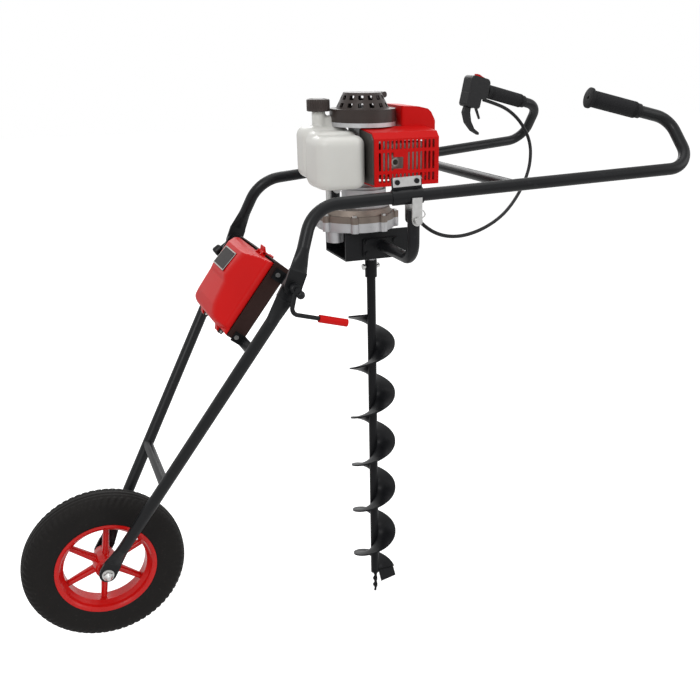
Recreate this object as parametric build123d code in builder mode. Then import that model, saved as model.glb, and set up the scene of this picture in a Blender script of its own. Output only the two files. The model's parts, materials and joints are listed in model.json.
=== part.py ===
from build123d import *
import math
import os

os.makedirs("parts", exist_ok=True)

# A one-wheeled trolley carries a petrol power head and a helical ice and earth bit.
# Frame: origin at the tip of the bit, +Z up along the bit, +X back towards the operator,
# -Y the operator's left. Millimetres.

# ---------------------------------------------------------------- driving dimensions
TUBE_R = 12.7            # one-inch frame tube, outside radius
TUBE_WALL = 2.0
FLAT_W = 37.0            # a crushed tube end
FLAT_T = 7.0
RUN = 0.05               # radial clearance of a running fit
GAP = 0.4                # clearance between faces that move past each other

AXLE = (-665.0, 0.0, 270.0)
TYRE_R = 177.0
TYRE_HALF = 38.0
RIM_R = 110.0
AXLE_R = 6.0
AXLE_EYE_Y = 54.0

PIVOT_X, PIVOT_Z = -262.0, 930.0
FORK_EYE_Y = 229.0
HANDLE_EYE_Y = 236.6
PIVOT_BOLT_R = 5.0

FORK_SLOPE_Y = 0.2966    # the fork tubes spread this much for each millimetre of height
FORK_Y0 = 48.7

BEND_A = (-201.0, 195.0, 1076.0)      # front corner of a handle tube
BEND_K1 = (612.0, 345.0, 1127.0)      # lower corner of the rear bend
BEND_K2 = (604.0, 264.0, 1221.0)      # upper corner of the rear bend
GRIP_TIP = (408.0, 238.0, 1268.0)

SWING_Z = 1041.0         # height of the pins that the power head hangs from
CLAMP_X = -13.0
CLAMP_LENGTH = 62.0

GEARBOX_X = -36.0
GEARBOX_R = 87.0
GEARBOX_BOTTOM, GEARBOX_SPLIT, GEARBOX_TOP = 990.0, 1010.0, 1036.0
CRANK_X = -15.0          # engine crank axis
TANK_LOW, TANK_HIGH = 1088.0, 1192.0
LAY_X = -54.0            # intermediate gear axis
PLATE_Z = 925.0          # underside of the gearbox bracket
BRACKET_HALF = 65.0

BIT_R = 55.0
BIT_PITCH = 130.0
FLIGHT_BOTTOM, FLIGHT_TOP = 62.0, 775.0
BIT_TUBE_R = 10.5
COLLAR_R = 14.0
SHAFT_R = 10.0
CLUTCH_SHAFT_R = 6.0

Y_AXIS = (0, 1, 0)


# ---------------------------------------------------------------- helpers
def finish(piece, name):
    """Label a finished piece and write it."""
    piece.part.label = name
    export_step(piece.part, f"parts/{name}.step")


def towards(start, end):
    """Unit direction from one point to another."""
    return (Vector(*end) - Vector(*start)).normalized()


def along(start, end, distance):
    """Point at a distance from start on the way to end."""
    return tuple(Vector(*start) + towards(start, end) * distance)


def sided(point, side):
    """A point on the right-hand half, moved to the wanted side."""
    return (point[0], side * point[1], point[2])


def swept_tube(points, radii, outer, inner=0.0):
    """A round bar or tube along straight runs with rounded corners."""
    with BuildPart() as bar:
        with BuildLine() as path:
            if radii:
                FilletPolyline(*points, radius=radii)
            else:
                Polyline(*points)
        with BuildSketch(Plane(origin=path.line @ 0, z_dir=path.line % 0)):
            Circle(outer)
            if inner:
                Circle(inner, mode=Mode.SUBTRACT)
        sweep()
    return bar.part


def rod(start, end, outer, inner=0.0):
    """A straight round bar or tube between two points."""
    length = (Vector(*end) - Vector(*start)).length
    with BuildPart() as bar:
        with BuildSketch(Plane(origin=start, z_dir=towards(start, end))):
            Circle(outer)
            if inner:
                Circle(inner, mode=Mode.SUBTRACT)
        extrude(amount=length)
    return bar.part


def flat_eye(eye, direction, length, hole_r):
    """The crushed end of a tube: a plate across Y with a rounded end and a bolt hole."""
    with BuildPart() as flat:
        with BuildSketch(Plane(origin=eye, x_dir=direction, z_dir=Y_AXIS)):
            with Locations((length / 2, 0)):
                Rectangle(length, FLAT_W)
            Circle(FLAT_W / 2)
            Circle(hole_r, mode=Mode.SUBTRACT)
        extrude(amount=FLAT_T / 2, both=True)
    return flat.part


def crush(flat_point, flat_direction, round_point, round_direction):
    """The tapering length between the flat end and the round tube."""
    with BuildPart() as taper:
        with BuildSketch(Plane(origin=round_point, x_dir=Y_AXIS, z_dir=round_direction)):
            Circle(TUBE_R)
        with BuildSketch(Plane(origin=flat_point, x_dir=Y_AXIS, z_dir=flat_direction)):
            RectangleRounded(FLAT_T, FLAT_W, FLAT_T / 2 - 0.2)
        loft()
    return taper.part


def disc(centre, radius, thickness, hole=0.0, axis=(0, 0, 1)):
    """A round plate or ring, thick from its centre along the axis."""
    with BuildPart() as plate:
        with BuildSketch(Plane(origin=centre, z_dir=axis)):
            Circle(radius)
            if hole:
                Circle(hole, mode=Mode.SUBTRACT)
        extrude(amount=thickness)
    return plate.part


def block(low, high, edge=0.0):
    """A box between two corners, with its upright edges rounded if wanted."""
    size = [high[i] - low[i] for i in range(3)]
    middle = [(high[i] + low[i]) / 2 for i in range(3)]
    with BuildPart() as box:
        with BuildSketch(Plane(origin=(middle[0], middle[1], low[2]))):
            if edge:
                RectangleRounded(size[0], size[1], edge)
            else:
                Rectangle(size[0], size[1])
        extrude(amount=size[2])
    return box.part


def spur_gear(centre, teeth, module, low, high, bore, turn):
    """A spur gear with straight-sided teeth and plenty of backlash."""
    pitch = teeth * module / 2
    step = 360 / teeth
    rings = ((pitch - 1.2 * module, 0.36), (pitch, 0.22), (pitch + 0.8 * module, 0.11))
    points = []
    for tooth in range(teeth):
        middle = turn + tooth * step
        for radius, share in rings:
            angle = math.radians(middle - share * step)
            points.append((radius * math.cos(angle), radius * math.sin(angle)))
        for radius, share in reversed(rings):
            angle = math.radians(middle + share * step)
            points.append((radius * math.cos(angle), radius * math.sin(angle)))
    with BuildPart() as gear:
        with BuildSketch(Plane(origin=(centre[0], centre[1], low))):
            with BuildLine():
                Polyline(*points, close=True)
            make_face()
            if bore:
                Circle(bore, mode=Mode.SUBTRACT)
        extrude(amount=high - low)
    return gear.part


def fork_point(height, side):
    """A point on a fork tube's centreline at the given height."""
    share = (height - AXLE[2]) / (PIVOT_Z - AXLE[2])
    across = FORK_Y0 + FORK_SLOPE_Y * (height - AXLE[2])
    return (AXLE[0] + share * (PIVOT_X - AXLE[0]), side * across, height)


def handle_point(back, side):
    """A point on a handle tube's long straight run at the given X."""
    share = (back - BEND_A[0]) / (BEND_K1[0] - BEND_A[0])
    across = BEND_A[1] + share * (BEND_K1[1] - BEND_A[1])
    return (back, side * across, BEND_A[2] + share * (BEND_K1[2] - BEND_A[2]))


# ---------------------------------------------------------------- handle tubes
HANDLE_UP = towards((PIVOT_X, 0, PIVOT_Z), (BEND_A[0], 0, BEND_A[2]))
GRIP_DIRECTION = towards(BEND_K2, GRIP_TIP)

for side, label in ((-1, "left"), (1, "right")):
    eye = (PIVOT_X, side * HANDLE_EYE_Y, PIVOT_Z)
    flat_end = tuple(Vector(*eye) + HANDLE_UP * 32)
    corner = sided(BEND_A, side)
    start = along(flat_end, corner, 46)
    points = [start, corner, sided(BEND_K1, side), sided(BEND_K2, side), sided(GRIP_TIP, side)]
    radii = [75, 46, 46]
    bent_tube = swept_tube(points, radii, TUBE_R, TUBE_R - TUBE_WALL)
    taper = crush(flat_end, HANDLE_UP, start, towards(start, corner))
    flat = flat_eye(eye, HANDLE_UP, 32, PIVOT_BOLT_R + RUN)
    with BuildPart() as handle_tube:
        add(bent_tube)
        add(taper)
        add(flat)
    finish(handle_tube, f"handle_tube_{label}")

BRACE_X = 211.0
BRACE_R = 11.0
brace_left = handle_point(BRACE_X, -1)
brace_right = handle_point(BRACE_X, 1)
tube_bodies = [rod(handle_point(60, s), handle_point(360, s), TUBE_R) for s in (-1, 1)]
brace_bar = rod(brace_left, brace_right, BRACE_R, BRACE_R - TUBE_WALL)
with BuildPart() as cross_brace:
    add(brace_bar)
    for body in tube_bodies:
        add(body, mode=Mode.SUBTRACT)
finish(cross_brace, "cross_brace")

# ---------------------------------------------------------------- grips
GRIP_R = 17.5
GRIP_LENGTH = 118.0
COLLAR_LENGTH = 12.0
for side, label in ((-1, "left"), (1, "right")):
    tip = sided(GRIP_TIP, side)
    bend = sided(BEND_K2, side)
    inner_end = tuple(Vector(*tip) + towards(bend, tip) * 4)
    if side > 0:
        inner_end = along(tip, bend, 22)
    body = rod(inner_end, along(inner_end, bend, GRIP_LENGTH), GRIP_R, TUBE_R)
    collar_start = along(inner_end, bend, GRIP_LENGTH)
    collar = rod(collar_start, along(collar_start, bend, COLLAR_LENGTH), GRIP_R - 2.0, TUBE_R)
    with BuildPart() as grip:
        add(body)
        add(collar)
    if side < 0:
        flange = rod(inner_end, along(inner_end, bend, 7), GRIP_R + 4, TUBE_R)
        plug_start = tuple(Vector(*inner_end) + towards(bend, tip) * 3)
        plug = rod(plug_start, inner_end, GRIP_R + 4, 3.0)
        with grip:
            add(flange)
            add(plug)
    finish(grip, f"grip_{label}")

# ---------------------------------------------------------------- throttle control, right grip
# The control is drawn on a plane through the grip: x runs back along the grip, y runs up.
grip_back = -GRIP_DIRECTION
grip_across = grip_back.cross(Vector(0, 0, 1)).normalized()
grip_up = grip_across.cross(grip_back).normalized()
CONTROL = Plane(origin=GRIP_TIP, x_dir=tuple(grip_back), z_dir=tuple(grip_back.cross(grip_up)))
HOUSING_HALF = 17.0
TRIGGER_PIVOT = (-26.0, -38.0)
LOCKOUT_PIVOT = (-8.0, -32.0)
ROCKER_PIVOT = (-8.0, 25.0)
PIN_R = 1.5


def control_point(x, y, across=0.0):
    """A point of the throttle control in the machine's frame."""
    return tuple(CONTROL.from_local_coords(Vector(x, y, across)))


def control_blade(points, half, pivot, boss):
    """A flat lever of the throttle control with a bored boss at its pivot."""
    with BuildPart() as lever:
        with BuildSketch(CONTROL):
            with BuildLine():
                Polyline(*points, close=True)
            make_face()
            with Locations(pivot):
                Circle(boss)
                Circle(PIN_R + RUN, mode=Mode.SUBTRACT)
        extrude(amount=half, both=True)
    return lever.part


with BuildPart() as throttle_housing:
    with BuildSketch(CONTROL):
        with Locations((-12, 2)):
            RectangleRounded(62, 52, 12)
        with Locations((-21, -30)):
            RectangleRounded(44, 40, 8)
    extrude(amount=HOUSING_HALF, both=True)
    with BuildSketch(Plane(origin=GRIP_TIP, z_dir=tuple(grip_back))):
        Circle(TUBE_R)
    extrude(amount=60, mode=Mode.SUBTRACT)
    with BuildSketch(CONTROL):
        with Locations((-17, -40)):
            Rectangle(41, 28)
    extrude(amount=6.6, both=True, mode=Mode.SUBTRACT)
    with BuildSketch(CONTROL):
        with Locations((-8, 25)):
            Rectangle(29, 14)
    extrude(amount=7.5, both=True, mode=Mode.SUBTRACT)
    with BuildSketch(CONTROL):
        with Locations(TRIGGER_PIVOT, LOCKOUT_PIVOT, ROCKER_PIVOT):
            Circle(PIN_R)
    extrude(amount=HOUSING_HALF, both=True)
finish(throttle_housing, "throttle_housing")

trigger_outline = [(-32, -36), (-36, -52), (-38, -66), (-24, -90), (0, -106), (24, -112),
                   (24, -106), (6, -99), (-9, -83), (-18, -62), (-20, -36)]
trigger_body = control_blade(trigger_outline, 6.0, TRIGGER_PIVOT, 6.5)
with BuildPart() as throttle_trigger:
    add(trigger_body)
finish(throttle_trigger, "throttle_trigger")

lockout_outline = [(-12, -34), (0, -52), (17, -73), (20, -70), (6, -50), (-4, -31)]
lockout_body = control_blade(lockout_outline, 2.5, LOCKOUT_PIVOT, 4.5)
with BuildPart() as lockout_lever:
    add(lockout_body)
finish(lockout_lever, "lockout_lever")

rocker_outline = [(-20, 21.5), (4, 21.5), (4, 30), (-3, 31), (-13, 34), (-20, 34)]
rocker_body = control_blade(rocker_outline, 6.8, ROCKER_PIVOT, 3.2)
with BuildPart() as stop_rocker:
    add(rocker_body)
finish(stop_rocker, "stop_rocker")

# ---------------------------------------------------------------- throttle cable
CABLE_R = 4.5
cable_start = control_point(19.2, -22.6)
CABLE_ROUTE = [
    cable_start,
    control_point(58, -23.5),
    (507, 253, 1214),
    (551, 256, 1180),
    (578, 247, 1128),
    (568, 226, 1074),
    (530, 192, 1028),
    (480, 152, 994),
    (424, 110, 968),
    (366, 76, 950),
    (306, 50, 938),
    (246, 32, 934),
    (190, 22, 944),
    (146, 22, 970),
    (116, 34, 1010),
    (103, 50, 1052),
]


def corner_radii(points):
    """The largest arcs that the runs allow: 0.45 of the shorter run at each corner."""
    radii = []
    for before, here, after in zip(points, points[1:], points[2:]):
        first = Vector(*here) - Vector(*before)
        second = Vector(*after) - Vector(*here)
        half_turn = math.radians(first.get_angle(second)) / 2
        radii.append(0.45 * min(first.length, second.length) / math.tan(half_turn))
    return radii


cable_radii = corner_radii(CABLE_ROUTE)
cable_bar = swept_tube(CABLE_ROUTE, cable_radii, CABLE_R)
with BuildPart() as throttle_cable:
    add(cable_bar)
finish(throttle_cable, "throttle_cable")

# ---------------------------------------------------------------- saddle clamps and hangers
SADDLE_R = 16.0
CLAMP_SCREW_X = (-20.0, 20.0)
HANGER_PIN_R = 5.0
TAB_T = 3.0
clamp_parts = []
plate_parts = []
screw_parts = []
pin_parts = []
for side in (-1, 1):
    low = handle_point(CLAMP_X - CLAMP_LENGTH / 2, side)
    high = handle_point(CLAMP_X + CLAMP_LENGTH / 2, side)
    centre = handle_point(CLAMP_X, side)
    run = towards(low, high)
    sleeve = rod(low, high, SADDLE_R, TUBE_R)
    web_plane = Plane(origin=centre, x_dir=tuple(run), z_dir=tuple(run.cross(Vector(0, 0, 1))))
    with BuildPart() as web:
        with BuildSketch(web_plane):
            with Locations((0, 27)):
                Rectangle(CLAMP_LENGTH, 24)
            with Locations((CLAMP_SCREW_X[0], 30), (CLAMP_SCREW_X[1], 30)):
                Circle(3.0, mode=Mode.SUBTRACT)
        extrude(amount=2.0, both=True)
    with BuildPart() as clamp:
        add(sleeve)
        add(web.part)
    clamp_parts.append(clamp.part)
    with BuildPart() as plate:
        with BuildSketch(web_plane.offset(2.0 if side < 0 else -4.5)):
            with Locations((0, 30)):
                RectangleRounded(CLAMP_LENGTH - 4, 19, 2)
            with Locations((CLAMP_SCREW_X[0], 30), (CLAMP_SCREW_X[1], 30)):
                Circle(3.0, mode=Mode.SUBTRACT)
        extrude(amount=2.5)
    plate_parts.append(plate.part)
    outward = Vector(*web_plane.z_dir) * (1 if side < 0 else -1)
    for shift in CLAMP_SCREW_X:
        spot = Vector(*centre) + run * shift + Vector(*web_plane.y_dir) * 30
        head_start = spot + outward * 4.5
        head = rod(tuple(head_start), tuple(head_start + outward * 3.2), 5.2)
        shank = rod(tuple(spot - outward * 6.5), tuple(head_start), 3.0)
        nut = rod(tuple(spot - outward * 6.5), tuple(spot - outward * 2.0), 5.0, 3.0)
        with BuildPart() as screw:
            add(head)
            add(shank)
            add(nut)
        screw_parts.append(screw.part)
    side_y = abs(handle_point(0, side)[1])
    for across in (side_y + SADDLE_R + 0.9, side_y - SADDLE_R - 0.9):
        with BuildPart() as tab:
            with BuildSketch(Plane(origin=(0, side * across, SWING_Z), x_dir=(1, 0, 0), z_dir=Y_AXIS)):
                with Locations((0, -23)):
                    Rectangle(22, 46)
                Circle(11)
                Circle(HANGER_PIN_R, mode=Mode.SUBTRACT)
            extrude(amount=TAB_T / 2, both=True)
            add(rod(low, high, SADDLE_R), mode=Mode.SUBTRACT)
        plate_parts.append(tab.part)
    pin_in = (0, side * (side_y - 26), SWING_Z)
    pin_out = (0, side * (side_y + 24), SWING_Z)
    shank = rod(pin_in, pin_out, HANGER_PIN_R)
    head = rod(pin_out, (0, side * (side_y + 28), SWING_Z), 7.5)
    with BuildPart() as pin:
        add(shank)
        add(head)
    pin_parts.append(pin.part)
    clip_y = side * (side_y - 24)
    clip_path = [(-6, clip_y, SWING_Z + 6.6), (14, clip_y, SWING_Z + 6.6), (32, clip_y, SWING_Z + 14),
                 (40, clip_y, SWING_Z + 2), (28, clip_y, SWING_Z - 6), (8, clip_y, SWING_Z - 6.8)]
    pin_parts.append(swept_tube(clip_path, [8, 6, 6, 8], 1.3))

for name, pieces in (("saddle_clamps", clamp_parts), ("clamp_plates", plate_parts),
                     ("clamp_screws", screw_parts), ("hanger_pins", pin_parts)):
    with BuildPart() as group:
        for piece in pieces:
            add(piece)
    finish(group, name)

# ---------------------------------------------------------------- fold pivots
pivot_parts = []
for side in (-1, 1):
    inner = side * (FORK_EYE_Y - FLAT_T / 2)
    shank = rod((PIVOT_X, inner - side * 3, PIVOT_Z), (PIVOT_X, side * 268, PIVOT_Z), PIVOT_BOLT_R)
    head = rod((PIVOT_X, inner - side * 9, PIVOT_Z), (PIVOT_X, inner - side * 3.2, PIVOT_Z), 9.0)
    washer = disc((PIVOT_X, side * (HANDLE_EYE_Y + FLAT_T / 2), PIVOT_Z), 12.0, side * 2.0,
                  PIVOT_BOLT_R, Y_AXIS)
    with BuildPart() as bolt:
        add(shank)
        add(head)
        add(washer)
    pivot_parts.append(bolt.part)
with BuildPart() as pivot_bolts:
    for piece in pivot_parts:
        add(piece)
finish(pivot_bolts, "pivot_bolts")

CRANK_Y = 256.0
CRANK_ROD_R = 4.5
hub = rod((PIVOT_X, -(CRANK_Y - 10), PIVOT_Z), (PIVOT_X, -(CRANK_Y + 8), PIVOT_Z), 10.0,
          PIVOT_BOLT_R + RUN)
crank_path = [(PIVOT_X - 1.7, -CRANK_Y, PIVOT_Z - 8), (PIVOT_X - 12, -CRANK_Y, PIVOT_Z - 49),
              (-168, -CRANK_Y, 851)]
crank_bar = swept_tube(crank_path, [14], CRANK_ROD_R)
with BuildPart() as clamp_crank:
    add(hub)
    add(crank_bar)
    with Locations((PIVOT_X + 8, -(CRANK_Y + 4), PIVOT_Z - 12)):
        Sphere(8.5)
    with BuildSketch(Plane(origin=(PIVOT_X, 0, PIVOT_Z), z_dir=Y_AXIS)):
        Circle(PIVOT_BOLT_R + RUN)
    extrude(amount=-300, mode=Mode.SUBTRACT)
finish(clamp_crank, "clamp_crank")

grip_end = Vector(-163, -CRANK_Y, 849.4)
crank_run = towards(crank_path[2], crank_path[1])
grip_start = grip_end + crank_run * 56
with BuildPart() as crank_grip:
    add(rod(tuple(grip_start), tuple(grip_end), 8.0, CRANK_ROD_R))
    add(rod(tuple(grip_end - crank_run * 5), tuple(grip_end), 8.0))
finish(crank_grip, "crank_grip")

LEVER_Y = 254.0
lever_hub = rod((PIVOT_X, LEVER_Y - 9, PIVOT_Z), (PIVOT_X, LEVER_Y + 9, PIVOT_Z), 11.0)
lever_bore = rod((PIVOT_X, LEVER_Y - 20, PIVOT_Z), (PIVOT_X, LEVER_Y + 20, PIVOT_Z), PIVOT_BOLT_R + RUN)
lever_root = (PIVOT_X - 7.5, LEVER_Y, PIVOT_Z - 5)
lever_tip = (PIVOT_X - 45, LEVER_Y, PIVOT_Z - 30)
lever_knob = along(lever_tip, lever_root, 22)
with BuildPart() as far_clamp_lever:
    add(rod(lever_knob, lever_tip, 11.8))
    fillet(far_clamp_lever.edges().filter_by(GeomType.CIRCLE), 5.5)
    add(rod(lever_root, lever_knob, 5.0))
    add(lever_hub)
    add(lever_bore, mode=Mode.SUBTRACT)
finish(far_clamp_lever, "far_clamp_lever")

# ---------------------------------------------------------------- fork
FORK_UP = towards((AXLE[0], 0, AXLE[2]), (PIVOT_X, 0, PIVOT_Z))
FORK_BRACE_Z = 492.0
fork_parts = []
for side in (-1, 1):
    top_eye = (PIVOT_X, side * FORK_EYE_Y, PIVOT_Z)
    low_eye = (AXLE[0], side * AXLE_EYE_Y, AXLE[2])
    top_flat = tuple(Vector(*top_eye) - FORK_UP * 30)
    low_flat = tuple(Vector(*low_eye) + FORK_UP * 26)
    top_round = fork_point(860, side)
    low_round = fork_point(332, side)
    fork_run = towards(low_round, top_round)
    round_tube = rod(low_round, top_round, TUBE_R, TUBE_R - TUBE_WALL)
    top_taper = crush(top_flat, FORK_UP, top_round, fork_run)
    low_taper = crush(low_flat, FORK_UP, low_round, fork_run)
    top_plate = flat_eye(top_eye, -FORK_UP, 30, PIVOT_BOLT_R + RUN)
    low_plate = flat_eye(low_eye, FORK_UP, 26, AXLE_R)
    with BuildPart() as fork_tube:
        add(round_tube)
        add(top_taper)
        add(low_taper)
        add(top_plate)
        add(low_plate)
    fork_parts.append(fork_tube.part)

fork_bodies = [rod(fork_point(400, s), fork_point(880, s), TUBE_R) for s in (-1, 1)]
fork_bar = rod(fork_point(FORK_BRACE_Z, -1), fork_point(FORK_BRACE_Z, 1), BRACE_R, BRACE_R - TUBE_WALL)
with BuildPart() as fork_brace:
    add(fork_bar)
    for body in fork_bodies:
        add(body, mode=Mode.SUBTRACT)
with BuildPart() as fork:
    for piece in fork_parts:
        add(piece)
    add(fork_brace.part)
finish(fork, "fork_tubes")

HUB_HALF = 40.0
eye_outside = AXLE_EYE_Y + FLAT_T / 2
with BuildPart() as axle_bolt:
    with BuildSketch(Plane(origin=AXLE, x_dir=(1, 0, 0), z_dir=Y_AXIS)):
        Circle(AXLE_R)
    extrude(amount=eye_outside + 10, both=True)
    for side in (-1, 1):
        with BuildSketch(Plane(origin=(AXLE[0], side * eye_outside, AXLE[2]), z_dir=(0, side, 0))):
            Circle(13)
        extrude(amount=2.2)
        with BuildSketch(Plane(origin=(AXLE[0], side * (eye_outside + 2.2), AXLE[2]), z_dir=(0, side, 0))):
            RegularPolygon(11, 6)
        extrude(amount=8)
        with BuildSketch(Plane(origin=(AXLE[0], side * (eye_outside + 10.2), AXLE[2]), z_dir=(0, side, 0))):
            Circle(9.3)
        extrude(amount=7, taper=35)
    for side in (-1, 1):
        with BuildSketch(Plane(origin=(AXLE[0], side * (HUB_HALF + GAP), AXLE[2]), z_dir=(0, side, 0))):
            Circle(11)
            Circle(AXLE_R, mode=Mode.SUBTRACT)
        extrude(amount=AXLE_EYE_Y - FLAT_T / 2 - HUB_HALF - GAP)
finish(axle_bolt, "axle_bolt")

# ---------------------------------------------------------------- wheel
BEARING_R = 16.0
BEARING_W = 10.0
WHEEL = Plane(origin=AXLE, x_dir=(0, 1, 0), z_dir=(1, 0, 0))      # x across, y up: a half section
axle_line = Axis(AXLE, Y_AXIS)


def turned(outline):
    """A solid of revolution about the axle from an outline of (across, radius) points."""
    with BuildPart() as ring:
        with BuildSketch(WHEEL):
            with BuildLine():
                Polyline(*outline, close=True)
            make_face()
        revolve(axis=axle_line)
    return ring.part


with BuildPart() as wheel_bearings:
    for side in (-1, 1):
        with BuildSketch(Plane(origin=(AXLE[0], side * (HUB_HALF - BEARING_W), AXLE[2]), z_dir=(0, side, 0))):
            Circle(BEARING_R)
            Circle(AXLE_R + RUN, mode=Mode.SUBTRACT)
        extrude(amount=BEARING_W)
finish(wheel_bearings, "wheel_bearings")

hub_outline = [(-HUB_HALF, BEARING_R), (-HUB_HALF, 21), (-34, 21), (-30, 24), (-12, 27), (12, 27),
               (30, 24), (34, 21), (HUB_HALF, 21), (HUB_HALF, BEARING_R),
               (HUB_HALF - BEARING_W, BEARING_R), (HUB_HALF - BEARING_W, 12),
               (-HUB_HALF + BEARING_W, 12), (-HUB_HALF + BEARING_W, BEARING_R)]
hub_body = turned(hub_outline)

rim_outline = [(-33, 110), (-33, 104), (-30, 100), (-24, 97), (-15, 90), (15, 90), (24, 97), (30, 100),
               (33, 104), (33, 110), (31, 110), (30.5, 105), (28, 102.5), (22, 99.5), (13, 93),
               (-13, 93), (-22, 99.5), (-28, 102.5), (-30.5, 105), (-31, 110)]
rim_body = turned(rim_outline)
SPOKES = 6
spoke_parts = []
for index in range(SPOKES):
    angle = math.radians(360 / SPOKES * index + 22)
    outwards = (math.cos(angle), 0, math.sin(angle))
    inner = Vector(*AXLE) + Vector(*outwards) * 26.5
    outer = Vector(*AXLE) + Vector(*outwards) * 90.5
    with BuildPart() as spoke:
        with BuildSketch(Plane(origin=tuple(inner), x_dir=Y_AXIS, z_dir=outwards)):
            Ellipse(13, 8)
        with BuildSketch(Plane(origin=tuple(outer), x_dir=Y_AXIS, z_dir=outwards)):
            Ellipse(9, 6.5)
        loft()
    spoke_parts.append(spoke.part)
valve_body = rod((AXLE[0] + 31, -12, AXLE[2] + 85), (AXLE[0] + 24, -22, AXLE[2] + 66), 3.6)
hub_space = turned([(-20, 0), (-20, 27), (20, 27), (20, 0)])
with BuildPart() as wheel_rim:
    add(rim_body)
    for piece in spoke_parts:
        add(piece)
    add(hub_space, mode=Mode.SUBTRACT)
    add(hub_body)
    add(valve_body, mode=Mode.SUBTRACT)
finish(wheel_rim, "wheel_rim")

tyre_outline = [(-33.2, 112), (-36, 122), (-38, 140), (-37, 156), (-31, 168), (-20, 175), (-8, TYRE_R),
                (8, TYRE_R), (20, 175), (31, 168), (37, 156), (38, 140), (36, 122), (33.2, 112),
                (33.2, 110.2), (30.8, 110.2), (30.2, 105.6), (28, 103), (22, 104), (27, 112), (31, 124), (32.5, 140), (31, 153),
                (26, 162), (16, 168), (-16, 168), (-26, 162), (-31, 153), (-32.5, 140), (-31, 124),
                (-27, 112), (-22, 104), (-28, 103), (-30.2, 105.6),
                (-30.8, 110.2), (-33.2, 110.2)]
tyre_body = turned(tyre_outline)
with BuildPart() as tyre:
    add(tyre_body)
    add(valve_body)
finish(tyre, "tyre")

# ---------------------------------------------------------------- tool box
# Drawn in the plane x = machine centre: x runs up the back of the box, y runs out to its front.
BOX_ORIGIN = (-350.0, 0.0, 794.5)
BOX_UP = Vector(0.614, 0, 0.789).normalized()
BOX_OUT = Vector(-BOX_UP.Z, 0, BOX_UP.X)
BOX = Plane(origin=BOX_ORIGIN, x_dir=tuple(BOX_UP), z_dir=(0, -1, 0))
BOX_HALF = 140.0
TRAY_LENGTH, TRAY_DEPTH, TRAY_WALL = 182.0, 35.0, 2.0
LID_HALF = 136.0
LID_RIM = TRAY_DEPTH + 0.4
HINGE = (-6.0, 31.0)
LATCH = (181.0, 43.0)
LATCH_Y = -60.0


def box_point(up, out, across=0.0):
    """A point of the tool box in the machine's frame."""
    return tuple(BOX.from_local_coords(Vector(up, out, -across)))


def box_slab(outline, low, high):
    """A shape drawn on the side of the tool box, extruded from one side to the other."""
    with BuildPart() as slab:
        with BuildSketch(Plane(origin=box_point(0, 0, high), x_dir=tuple(BOX_UP), z_dir=(0, -1, 0))):
            with BuildLine():
                Polyline(*outline, close=True)
            make_face()
        extrude(amount=high - low)
    return slab.part


def rectangle(low, high):
    """Corner points of an upright rectangle."""
    return [low, (high[0], low[1]), high, (low[0], high[1])]


STRAP_T = 3.0
pivot_up = (Vector(PIVOT_X, 0, PIVOT_Z) - Vector(*BOX_ORIGIN)).dot(BOX_UP)
pivot_out = (Vector(PIVOT_X, 0, PIVOT_Z) - Vector(*BOX_ORIGIN)).dot(BOX_OUT)
TRAY_SCREWS = ((pivot_up, 17.0), (7.0, 17.0))
with BuildPart() as screw_shanks:
    for side in (-1, 1):
        for up, out in TRAY_SCREWS:
            add(rod(box_point(up, out, side * (BOX_HALF - 8)),
                    box_point(up, out, side * (BOX_HALF + STRAP_T)), 2.5))

tray_outside = box_slab(rectangle((0, 0), (TRAY_LENGTH, TRAY_DEPTH)), -BOX_HALF, BOX_HALF)
tray_inside = box_slab(rectangle((TRAY_WALL, TRAY_WALL), (TRAY_LENGTH - TRAY_WALL, TRAY_DEPTH + 1)),
                       -BOX_HALF + TRAY_WALL, BOX_HALF - TRAY_WALL)
hinge_ears = []
for place in (-70, 70):
    for low in (place - 16, place + 10):
        hinge_ears.append(box_slab([(0, 24), (HINGE[0] - 4.5, 26.5), (HINGE[0] - 4.5, 35.5), (0, 35)],
                                   low, low + 6))
hinge_bores = rod(box_point(*HINGE, -120), box_point(*HINGE, 120), 2.5)
with BuildPart() as tool_tray:
    add(tray_outside)
    add(tray_inside, mode=Mode.SUBTRACT)
    for ear in hinge_ears:
        add(ear)
    add(hinge_bores, mode=Mode.SUBTRACT)
    add(screw_shanks.part, mode=Mode.SUBTRACT)
finish(tool_tray, "tool_tray")

with BuildPart() as tray_pins:
    for place in (-70, 70):
        add(rod(box_point(*HINGE, place - 16.5), box_point(*HINGE, place + 16.5), 2.5))
    add(screw_shanks.part)
    for side in (-1, 1):
        for up, out in TRAY_SCREWS:
            add(rod(box_point(up, out, side * (BOX_HALF + STRAP_T)),
                    box_point(up, out, side * (BOX_HALF + STRAP_T + 2.6)), 4.8))
finish(tray_pins, "tray_pins")

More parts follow.
